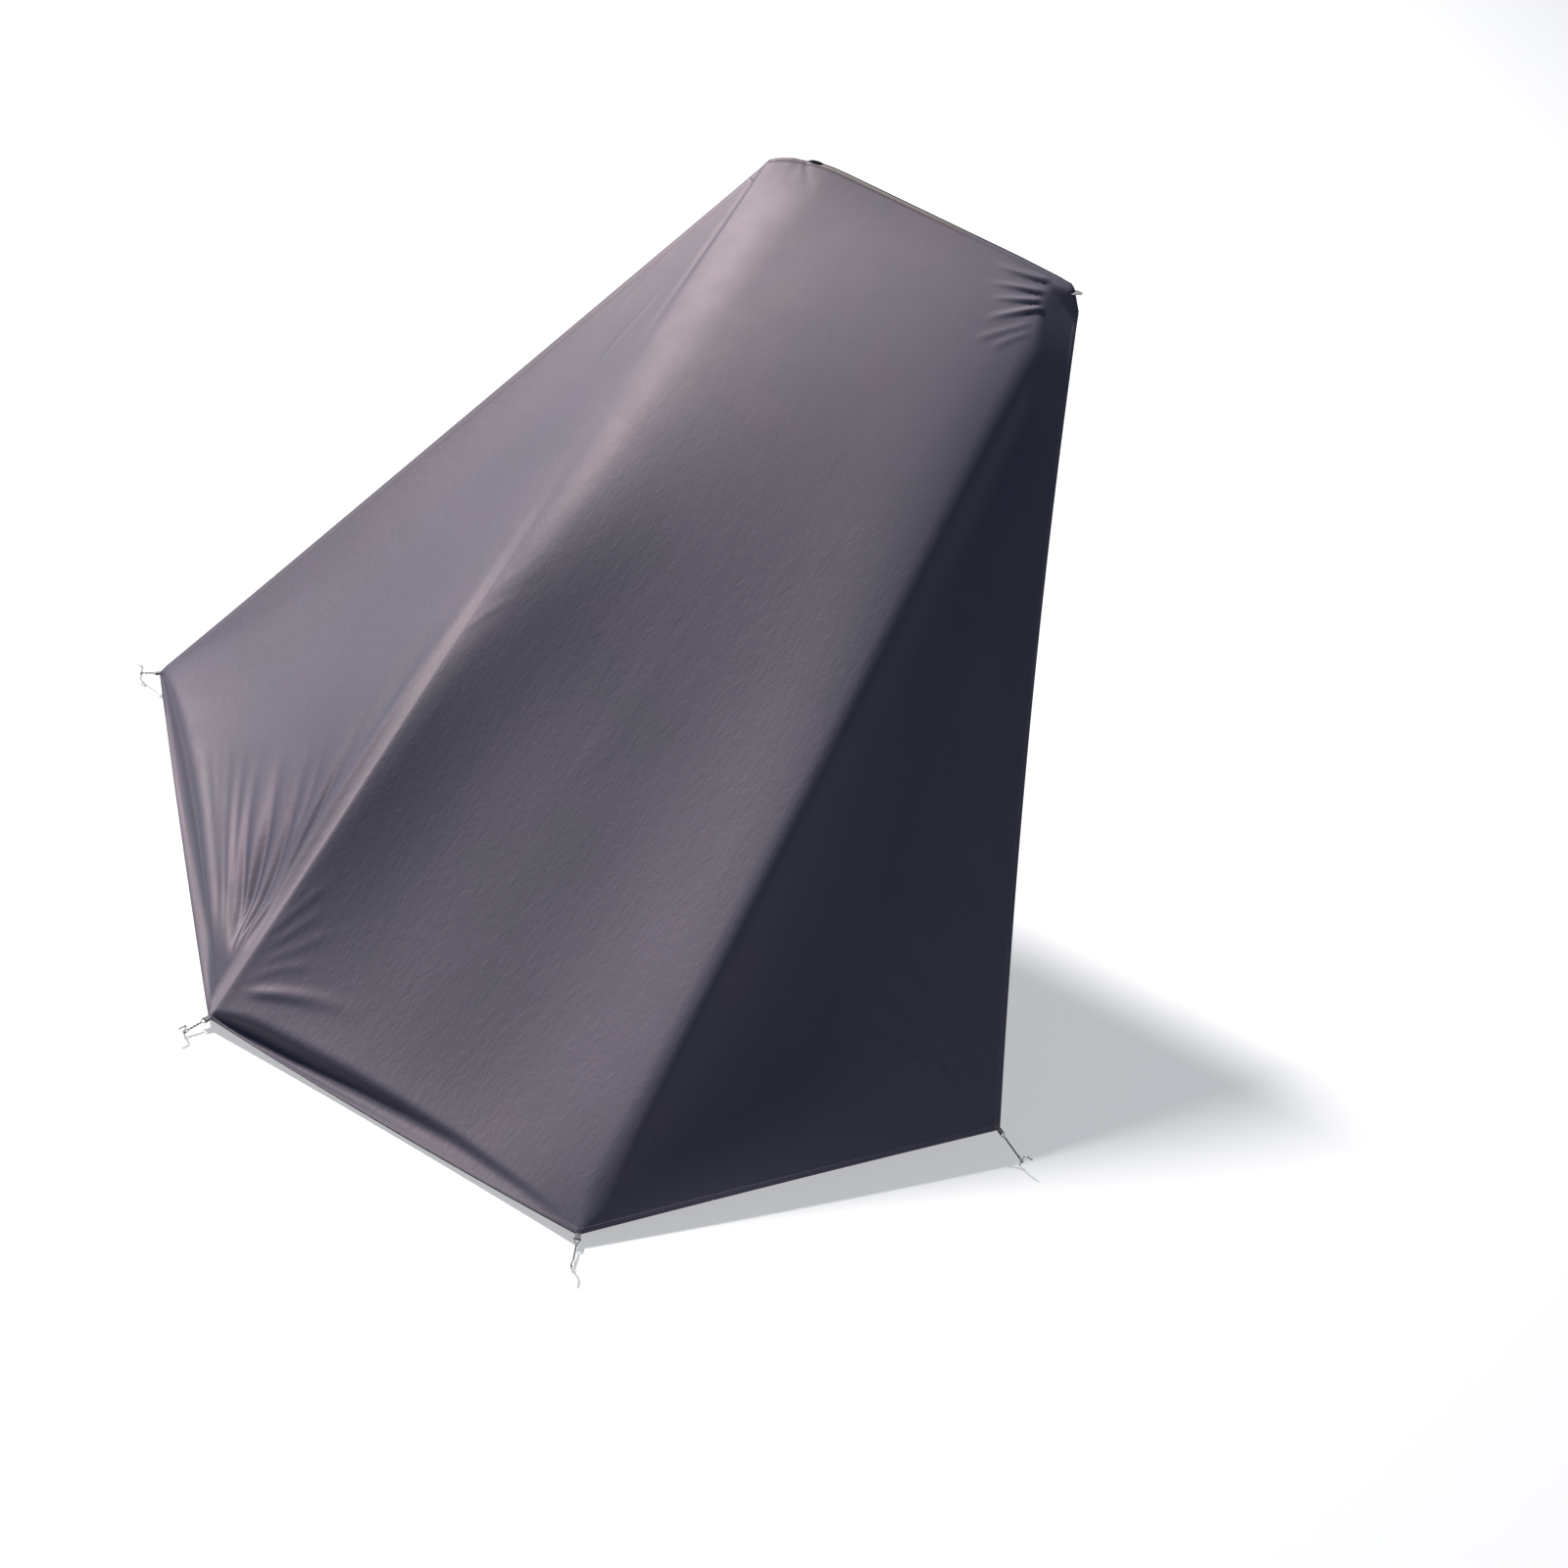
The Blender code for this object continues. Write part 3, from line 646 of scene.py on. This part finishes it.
clothFinish = dict(
    cool=(0.024, 0.037, 0.066), warm=(0.031, 0.037, 0.071), patches=2.3,
    # painted highlight beside the left ridge, a lighter strip of colour for the shine on its rounded turn:
    # out from it whole and faded, in from it faded, and metres down
    paintedHighlightAndShade=(0.160, 0.143, 0.176), highlightWidth=(0.020, 0.050, 0.010), highlightFrom=(1.4, 2.6),
    roughness=(0.655, 0.675), shine=7.0, ior=1.65, specular=0.88, tint=(1.0, 0.775, 0.775),
    # the cloth is drawn smooth near the tailgate: metres down it, and the share of relief that is left there
    slack=(0.5, 1.9, 0.2), edgeSlack=0.3,
    pulls=dict(scale=15.0, down=0.22, height=0.0010),
    ripples=dict(scale=62.0, down=0.4, distortion=0.8, height=0.0009),
    weave=dict(scale=160.0, distortion=0.4, height=0.00005),
    stitches=dict(scale=48.0, width=(0.0006, 0.0016), height=-0.0007),
    turned=(0.16, 0.145, 0.17),                    # the colour that a doubled edge is mixed with
)


def coatedCloth(name, lighter=0.0, stitches=None):
    # stitches is how far in from the edge the row of stitches lies
    f = clothFinish
    material, tree, shader = newMaterial(name, f["cool"], f["roughness"][0])
    shader.inputs["IOR"].default_value = f["ior"]
    shader.inputs["Specular IOR Level"].default_value = f["specular"]
    shader.inputs["Specular Tint"].default_value = (*f["tint"], 1)
    across, down = clothAxes(tree)[:2]
    patches = rampBetween(tree, noise(tree, f["patches"], 2.0), 0.38, 0.62)
    colour = mixColours(tree, patches, f["cool"], f["warm"])
    # a lighter strip of colour along the left ridge: painted highlight of the shine on its turn
    if stitches is None:
        whole, outer, inner = f["highlightWidth"]
        paintedHighlight = rampBetween(tree, across, -outer, -whole)
        paintedHighlight = maths(tree, "MULTIPLY", paintedHighlight, rampBetween(tree, across, 0.0, inner, 1.0, 0.0))
        paintedHighlight = maths(tree, "MULTIPLY", paintedHighlight, rampBetween(tree, down, *f["highlightFrom"]))
        colour = mixColours(tree, paintedHighlight, colour, f["paintedHighlightAndShade"])
    if lighter:
        colour = mixColours(tree, lighter, colour, f["turned"])
    tree.links.new(colour, shader.inputs["Base Color"])
    shine = rampBetween(tree, noise(tree, f["shine"], 3.0), 0.35, 0.65, *f["roughness"])
    tree.links.new(shine, shader.inputs["Roughness"])
    start, end, least = f["slack"]
    slack = rampBetween(tree, down, start, end, least, 1.0) if stitches is None else f["edgeSlack"]
    p, r, w = f["pulls"], f["ripples"], f["weave"]
    pulls = maths(tree, "MULTIPLY", noise(tree, p["scale"], 2.0, p["down"]), slack)
    ripples = maths(tree, "MULTIPLY", noise(tree, r["scale"], 2.0, r["down"], r["distortion"]), slack)
    threads = [stripes(tree, w["scale"], way, distortion=w["distortion"]) for way in ("X", "Y")]
    weave = maths(tree, "MULTIPLY", *threads)
    layers = [(pulls, p["height"]), (ripples, r["height"]), (weave, w["height"])]
    if stitches is not None:
        t = f["stitches"]
        away = maths(tree, "ABSOLUTE", maths(tree, "SUBTRACT", down, stitches), 0.0)
        dash = rampBetween(tree, stripes(tree, t["scale"], "X", 0.0), 0.2, 0.5, 0.3, 1.0)
        row = rampBetween(tree, away, *t["width"], 1.0, 0.0)
        layers.append((maths(tree, "MULTIPLY", row, dash), t["height"]))
    bumpLayers(tree, shader, *layers)
    return material


# on the top border: a pale band that is painted highlight and, under it, a dark line that is painted shade,
# in metres down; soft is how blurred their edges are, since and until are metres along the border, and over
# is where the pale band ends behind its top
topPaintedLight = dict(colour=(0.10, 0.11, 0.10), width=0.0105, paintedHighlightAndShade=0.0165, dark=(0.002, 0.003, 0.006), soft=0.0008,
               since=(0.170, 0.190), until=(0.60, 0.90), over=(-0.006, -0.003), stitches=0.0125)


def topPaintedLightCloth():
    # the painted highlight and the painted shade line start beside the left corner and fade out to the right
    t = topPaintedLight
    material = coatedCloth("borderCloth", stitches=t["stitches"])
    tree = material.node_tree
    shader = tree.nodes["Principled BSDF"]
    across, down = clothAxes(tree)[:2]
    colour = shader.inputs["Base Color"].links[0].from_socket
    there = rampBetween(tree, across, *t["since"])
    there = maths(tree, "MULTIPLY", there, rampBetween(tree, across, *t["until"], 1.0, 0.0))
    there = maths(tree, "MULTIPLY", there, rampBetween(tree, down, *t["over"]))
    # the dark line is painted shade under the border's top, the pale band painted highlight on it
    for start, paint in ((t["paintedHighlightAndShade"] - t["soft"], t["dark"]), (t["width"], t["colour"])):
        part = maths(tree, "MULTIPLY", rampBetween(tree, down, start, start + t["soft"], 1.0, 0.0), there)
        colour = mixColours(tree, part, colour, paint)
    tree.links.new(colour, shader.inputs["Base Color"])
    return material


# the pale and the dark yarn of each tape; on the top edge tube the dark tape's colour is painted shade
tapes = dict(darkTape=((0.030, 0.032, 0.044), (0.008, 0.009, 0.014)),
             paleTape=((0.42, 0.41, 0.44), (0.16, 0.15, 0.17)))
tapeWeave = dict(roughness=0.75, specular=0.3, ribs=210.0, grain=320.0, dirt=90.0, height=0.0004)


def wovenTape(name):
    w = tapeWeave
    colour, dark = tapes[name]
    material, tree, shader = newMaterial(name, colour, w["roughness"])
    shader.inputs["Specular IOR Level"].default_value = w["specular"]
    ribs = stripes(tree, w["ribs"], "X", distortion=0.6)
    weave = maths(tree, "MULTIPLY", ribs, stripes(tree, w["grain"], "Y"))
    worn = maths(tree, "MULTIPLY", weave, noise(tree, w["dirt"], 3.0))
    mixed = mixColours(tree, rampBetween(tree, worn, 0.05, 0.45), dark, colour)
    tree.links.new(mixed, shader.inputs["Base Color"])
    bumpLayers(tree, shader, (weave, w["height"]))
    return material


cordFinish = dict(colour=(0.36, 0.34, 0.32), dark=(0.035, 0.030, 0.028), roughness=0.7, specular=0.25,
                  strands=260.0, flecks=240.0, height=0.0003)


def braidedCord():
    # the cloth's measures run along the cord and round it here
    c = cordFinish
    material, tree, shader = newMaterial("braidedCord", c["colour"], c["roughness"])
    shader.inputs["Specular IOR Level"].default_value = c["specular"]
    braid = maths(tree, "MAXIMUM", *(stripes(tree, c["strands"], "DIAGONAL", way) for way in (1, -1)))
    flecked = maths(tree, "MULTIPLY", braid, noise(tree, c["flecks"], 1.0))
    colour = mixColours(tree, rampBetween(tree, flecked, 0.30, 0.58), c["dark"], c["colour"])
    tree.links.new(colour, shader.inputs["Base Color"])
    bumpLayers(tree, shader, (braid, c["height"]))
    return material


steelFinish = dict(colour=(0.40, 0.41, 0.42), bright=(0.42, 0.43, 0.44), dull=(0.20, 0.19, 0.18),
                   roughness=(0.34, 0.62), metallic=0.9, spangle=260.0, stains=90.0, height=0.0002)


def galvanisedSteel():
    f = steelFinish
    material, tree, shader = newMaterial("galvanisedSteel", f["colour"], 0.42, f["metallic"])
    place = addNode(tree, "TexCoord").outputs["Object"]
    spangle = addNode(tree, "TexVoronoi", {"Vector": place, "Scale": f["spangle"]}).outputs["Color"]
    stains = addNode(tree, "TexNoise", {"Vector": place, "Scale": f["stains"], "Detail": 4.0}).outputs[0]
    colour = mixColours(tree, 0.25, f["bright"], spangle)
    colour = mixColours(tree, rampBetween(tree, stains, 0.45, 0.75), colour, f["dull"])
    grey = addNode(tree, "HueSaturation", {"Saturation": 0.08, "Value": 1.0, "Color": colour}).outputs[0]
    tree.links.new(grey, shader.inputs["Base Color"])
    tree.links.new(rampBetween(tree, stains, 0.3, 0.8, *f["roughness"]), shader.inputs["Roughness"])
    bumpLayers(tree, shader, (stains, f["height"]))
    return material


# the sheet's rows, down, and columns, across: pairs of a share of the way and how close they lie there;
# rows lie closer together low down at the left, and near the tailgate at the right
canopyGrid = dict(
    rows=206, columns=dict(left=88, front=100, right=34),
    rowsLeft=((0, 2.4), (0.04, 1.4), (0.12, 1.0), (0.5, 1.0), (0.66, 2.4), (0.95, 3.0), (1, 4.5)),
    rowsRight=((0, 4.5), (0.14, 4.5), (0.2, 1.6), (0.6, 1.0), (0.93, 1.5), (0.96, 3.2), (1, 3.2)),
    left=((0, 3.0), (0.5, 2.2), (0.6, 1.3), (0.84, 1.3), (0.88, 2.6), (1, 2.6)),
    front=((0, 3.0), (0.1, 2.0), (0.25, 1.0), (0.65, 1.0), (0.75, 2.2), (1, 2.6)),
    right=((0, 2.0), (0.1, 1.3), (0.3, 1.0), (0.85, 1.0), (1, 1.8)),
    flatLength=3.65, rightStart=1.33,              # the sheet laid out flat, in metres, for its weave
)


def addCanopy(material):
    g = canopyGrid
    low, high = (spread(g["rows"], *g[k])[:, None] for k in ("rowsLeft", "rowsRight"))
    shares = {panel: spread(count, *g[panel]) for panel, count in g["columns"].items()}
    shares["left"], shares["front"] = shares["left"][::-1], shares["front"][1:-1]
    points, uvs = [], []
    for panel, share in shares.items():
        blend = {"left": 0.0, "front": smooth((share - 0.3) / 0.4), "right": 1.0}[panel]
        t = low + (high - low) * (blend + 0 * share)
        x = share * (frontWidth(t) if panel == "front" else wingWidth(panel, t))
        points.append(canopyPoint(panel, x, t))
        flat = {"left": -x, "front": x, "right": g["rightStart"] + x}[panel]
        uvs.append(np.stack([flat, t * g["flatLength"]], -1))
    grid, uv = np.concatenate(points, axis=1), np.concatenate(uvs, axis=1)
    grid[..., 2] = np.maximum(grid[..., 2], groundHeight + canopy["groundGap"])
    obj = newObject("canopy", grid, gridFaces(*grid.shape[:2]), material, uv)
    cleanMesh(obj, 2e-5, thin=1e-6)
    applyModifier(obj, "SOLIDIFY", thickness=canopy["clothThickness"], offset=-1.0, use_rim=True)
    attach(obj, "root")
    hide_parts("front_panel", "left_wing", "right_wing")
    return obj


# a hem is the edge of the cloth turned under and stitched; width is how deep, proud how far it stands out,
# flush the same at its two edges, past how far it goes beyond the cloth and stitchIn where its stitches lie
hems = dict(
    left_rear_hem=dict(panel="left", ends=("crown", "rear"), width=0.030, start=0.03),
    left_ground_hem=dict(panel="left", ends=("rear", "front"), width=0.022, start=0.0),
    right_rear_hem=dict(panel="right", ends=("crown", "rear"), width=0.027, start=0.0),
    right_ground_hem=dict(panel="right", ends=("rear", "front"), width=0.022, start=0.0),
    front_ground_hem=dict(panel="front", ends=None, width=0.022, start=0.0),
)
hemFinish = dict(proud=0.0011, flush=0.0003, deep=0.0022, past=0.0012, groundGap=0.0015, stations=150,
                 across=7, lighter=0.12, stitchIn=0.004)


def hemStations(h):
    # places on the cloth along an outer edge, and a little in from it
    n, m = hemFinish["stations"], hemFinish["across"]
    along = np.linspace(h["start"], 1.0, n)[:, None]
    inward = np.linspace(-hemFinish["past"], h["width"], m)[None, :]
    if h["ends"] is None:
        t = 1 - inward / frontLength + 0 * along
        return along * frontWidth(t), t
    corners = wingCorners(h["panel"])
    a, b = (np.array(corners[name]) for name in h["ends"])
    way = unit(b - a)
    third = np.array(corners[next(k for k in corners if k not in h["ends"])])
    inner = np.array((-way[1], way[0]))
    inner = inner if inner @ (third - a) > 0 else -inner
    place = a + (b - a) * along[..., None] + inner * inward[..., None]
    x, y = np.maximum(place[..., 0], 0), np.clip(place[..., 1], 0, ridgeLength[h["panel"]] - 1e-4)
    return x, y / ridgeLength[h["panel"]]


def addHem(name, material):
    h, f = hems[name], hemFinish
    x, t = hemStations(h)
    proud = np.full(x.shape[1], f["proud"])
    proud[0] = proud[-1] = f["flush"]
    top = canopyPoint(h["panel"], x, t)
    over = canopyPoint(h["panel"], x, t, proud)
    under = canopyPoint(h["panel"], x, t, -f["deep"] - proud)[:, ::-1]
    rings = np.concatenate([over, under], axis=1)
    rings[..., 2] = np.maximum(rings[..., 2], groundHeight + f["groundGap"])
    length = float(np.linalg.norm(np.diff(top[:, 0], axis=0), axis=1).sum())
    v = np.linspace(0, h["width"], x.shape[1])
    obj = sweep(name.replace("_hem", "_edge"), rings, material, np.linspace(0, length, len(x)),
                np.concatenate([v, v[::-1], v[:1]]))
    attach(obj, "root")
    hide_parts(name)
    return obj


# the border is folded over the tailgate edge; lifts is how far its front stands off the canopy, from the top
# down, and its back hangs to backEnd, where it is turned under up to turnEnd
topBand = dict(depth=0.027, thickness=0.0035, stations=140, roll=0.0022, endGap=0.004, backEnd=0.040,
               turnEnd=0.030, turnGap=0.0012, lifts=(0.0022, 0.0022, 0.0022, 0.0016, 0.0004, -0.0010))


def borderPoints(across):
    # the top edge of the cloth, from the left crown corner to the right one
    return canopyPoint("front", across, np.zeros_like(across))


def addTopBand(material):
    b = topBand
    across = np.linspace(b["endGap"], frontWidth(np.array(0.0)) - b["endGap"], b["stations"])
    downs = np.linspace(0, b["depth"], len(b["lifts"]))
    front = np.stack([canopyPoint("front", across, np.full_like(across, down / frontLength), lift)
                      for down, lift in zip(downs, b["lifts"])], 1)
    edge = borderPoints(across)
    way = unit(np.gradient(edge, axis=0))
    behind = unit(np.cross(way, (0, 0, 1.0)))
    behind = np.where(behind[:, 1:2] < 0, -behind, behind)
    rise = np.array([0, 0, 1.0])
    roll = [edge + rise * b["roll"] * math.sin(a) + behind * (b["thickness"] / 2 * (1 - math.cos(a)))
            for a in np.linspace(0.5, math.pi - 0.2, 5)]
    back = [edge + behind * b["thickness"] - rise * z for z in np.linspace(0.002, b["backEnd"], 6)]
    inner = [edge + behind * b["turnGap"] - rise * z for z in np.linspace(b["backEnd"], b["turnEnd"], 3)]
    rings = np.concatenate([front[:, ::-1], np.stack(roll + back + inner, 1)], axis=1)
    rings[..., 1] = np.minimum(rings[..., 1], -0.0001)       # just clear of the mount's plane
    travel = np.concatenate([downs[::-1], np.linspace(-0.001, -0.05, rings.shape[1] - 5)])
    obj = sweep("top_band", rings, material, across, travel)
    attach(obj, "root")
    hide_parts("top_hem")
    return obj


# a thin tube along the top of the border, coloured dark as painted shade of its turned edge, in metres along
# it from the left crown; knot is its thicker end
paintedShadeEdge = dict(stations=160, start=0.145, past=0.01, radius=0.0020, offset=(0, 0.0004, 0.0020),
              knot=dict(more=0.0042, at=0.180, half=0.022))


def addPaintedShadeEdge(material):
    p, k = paintedShadeEdge, paintedShadeEdge["knot"]
    end = topCorner["right"][0] - crownCorner["left"][0] + p["past"]
    across = np.linspace(p["start"], end, p["stations"])
    path = borderPoints(across) + np.array(p["offset"])
    thick = p["radius"] + k["more"] * np.exp(-((across - k["at"]) / k["half"]) ** 4)
    obj = sweep("top_painted_shade_edge", tubeRings(path, thick, 8), material, across, np.linspace(0, 0.0145, 9))
    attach(obj, "root")
    return obj


# each ground corner has a tab, and a doubled cord through it that is twisted and goes round a peg
groundTies = dict(
    left_rear=dict(corner=rearCorner["left"], peg=(-1.787, -1.836, groundHeight + 0.026), halfTurns=4),
    right_rear=dict(corner=rearCorner["right"], peg=(1.802, -1.909, groundHeight + 0.022), halfTurns=8),
    left_front=dict(corner=frontCorner["left"], peg=(-0.704, -3.172, groundHeight + 0.014), halfTurns=4),
    right_front=dict(corner=frontCorner["right"], peg=(0.716, -3.234, groundHeight + 0.014), halfTurns=6),
)
tabLoop = dict(width=0.016, length=0.022, height=0.009, wall=0.0018, cut=0.0057, clothHalf=0.002, bite=0.0012,
               sewn=0.0165, pinch=(1, 0.93))
tailgateTab = dict(wide=(0.032, 0.018), thick=0.0016,
                   start=bySide((-0.560, -0.0040, -0.024), (0.556, -0.0145, 0.008)),
                   tip=bySide((-0.600, -0.0180, -0.024), (0.592, -0.0145, 0.018)),
                   across=bySide((0.0, 0.0, 1.0), (0.0, 0.97, 0.24)))
# half the distance between the two strands is wide at the tab, narrow at the peg and twist between them;
# opens, closes and turns are shares of the span, from the tab on: where it starts and over how much it goes;
# eye is the half of the bend that passes through the tab: how far forward and how far to the side
tieCord = dict(radius=0.0015, wide=0.0108, narrow=0.0051, twist=0.0018, back=0.0065, stations=46,
               opens=0.26, closes=(0.84, 0.16), turns=(0.10, 0.80),
               eye=((0.0022, 0.0107), (0.0009, 0.0101), (0.0001, 0.0086), (0.0, 0.005)))


def tieFrame(name):
    t = groundTies[name]
    pull = unit(np.array(t["peg"]) - t["corner"])
    across = unit(np.cross(pull, (0, 0, 1.0)))
    return t["corner"], np.array(t["peg"]), pull, across, np.cross(across, pull)


def bandRings(path, across, width, wall):
    # flat sections with rounded edges along a path
    way = unit(np.roll(path, -1, axis=0) - np.roll(path, 1, axis=0))
    out = np.cross(way, across)
    half = [(-0.5, -0.25), (-0.47, -0.5), (-0.2, -0.5), (0.2, -0.5), (0.47, -0.5), (0.5, -0.25)]
    section = half + [(a, -b) for a, b in half[::-1]]
    return np.stack([path + across * a * width + out * b * wall for a, b in section], 1)


def addTab(name, material):
    tab = tabLoop
    corner, _, pull, across, rise = tieFrame(name)
    start = corner - pull * tab["cut"] - rise * tab["clothHalf"]
    radius = (tab["height"] - tab["wall"]) / 2
    angles = np.linspace(-math.pi / 2, math.pi / 2, 15)
    flat = [(tab["length"] - tab["height"] / 2 + radius * math.cos(a), radius * math.sin(a)) for a in angles]
    near = tab["wall"] / 2
    # the two sides lie closer together where they are sewn to the corner
    side = list(zip(np.linspace(tab["sewn"], near + tab["bite"], 8), radius * np.linspace(*tab["pinch"], 8)))
    flat += side + [(near, z) for z in np.linspace(radius * 0.75, -radius * 0.75, 5)]
    flat += [(x, -z) for x, z in side[::-1]]
    path = np.array([start + pull * x + rise * z for x, z in flat])
    rings = bandRings(path, across, tab["width"], tab["wall"])
    around = np.linspace(0, 0.035, rings.shape[1] + 1)
    obj = sweep(name + "_loop", rings, material, loopTravel(path), around, closed=True)
    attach(obj, "root")
    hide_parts(name + "_tab")
    return obj


def addTailgateTab(side, material):
    # a short tape, sewn to the back of the border and tapered to its free end
    t = tailgateTab
    start, across = t["start"][side], t["across"][side]
    out = t["tip"][side] - start
    share = np.linspace(0, 1, 18)
    wide = t["wide"][0] + (t["wide"][1] - t["wide"][0]) * smooth((share - 0.35) / 0.6)
    path = start + out * share[:, None]
    back = unit(np.cross(out, across))
    half = [(-0.5, -0.3), (-0.46, -0.5), (0.0, -0.5), (0.46, -0.5), (0.5, -0.3)]
    section = half + [(a, -b) for a, b in half[::-1]]
    rings = np.stack([path + across * (a * wide)[:, None] + back * b * t["thick"] for a, b in section], 1)
    obj = sweep(side + "_tailgate_tape", rings, material, share * 0.04, np.linspace(0, 0.06, 11))
    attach(obj, "root")
    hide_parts(side + "_tailgate_tab")
    return obj


def addTie(name, material):
    c = tieCord
    corner, peg, pull, across, rise = tieFrame(name)
    forward = tabLoop["length"] - tabLoop["height"] / 2 - c["back"]
    start = corner + pull * forward - rise * tabLoop["clothHalf"]
    way = unit(peg - start)
    length = float(np.linalg.norm(peg - start))
    over = np.cross(across, way)
    share = np.linspace(0.004 / length, 1.0, c["stations"])
    turn = smooth((share - c["turns"][0]) / c["turns"][1]) * math.pi * groundTies[name]["halfTurns"]
    apart = c["twist"] + (c["wide"] - c["twist"]) * (1 - smooth(share / c["opens"]))
    apart = apart + (c["narrow"] - c["twist"]) * smooth((share - c["closes"][0]) / c["closes"][1])
    strand = (np.cos(turn)[:, None] * across + np.sin(turn)[:, None] * over) * apart[:, None]
    middle = start + way * (share * length)[:, None]
    angles = np.linspace(-math.pi / 2, math.pi / 2, 13)[1:-1]
    level = math.hypot(way[0], way[1])
    ahead, aside = way * c["narrow"] / level, across * c["narrow"]
    bend = [peg + ahead * math.cos(a) - aside * math.sin(a) for a in angles]
    eye = [(a, -b) for a, b in c["eye"]] + [(0.0, 0.0)] + list(c["eye"][::-1])
    through = [start + way * a + across * b for a, b in eye]
    path = np.concatenate([middle + strand, bend, (middle - strand)[::-1], through])
    # a few points more at both ends, so that the sections meet without a twist of their own
    looped = np.concatenate([path[-3:], path, path[:3]])
    rings = tubeRings(looped, c["radius"])[3:-3]
    obj = sweep(name + "_cord", rings, material, loopTravel(path), np.linspace(0, 0.0094, 11), closed=True)
    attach(obj, "root")
    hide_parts(name + "_tie")
    return obj


addCamera()
addStudio()
say("camera, floor and light are in place")
canopySheet = addCanopy(coatedCloth("coatedCloth"))
say("canopy: %d faces" % len(canopySheet.data.polygons))
darkTape, paleTape = (wovenTape(name) for name in tapes)
for n, name in enumerate(hems):
    stitchRow = hems[name]["width"] - hemFinish["stitchIn"]
    hemCloth = coatedCloth("hemCloth" + str(n), hemFinish["lighter"], stitchRow)
    addHem(name, hemCloth)
# the top band's cloth carries the painted highlight and the painted shade line
topBandPiece = addTopBand(topPaintedLightCloth())
# the top edge tube takes the dark tape's colour as painted shade
addPaintedShadeEdge(darkTape)
say("hems and top band are on")
cord = braidedCord()
steel = galvanisedSteel()
addTailgateTab("left", darkTape)
addTailgateTab("right", paleTape)
for name in groundTies:
    addTab(name, paleTape)
    addTie(name, cord)
for obj in list(scene.objects):
    if obj.name.endswith("_peg"):
        obj.data.materials[0] = steel
say("tabs, ties and pegs are on")
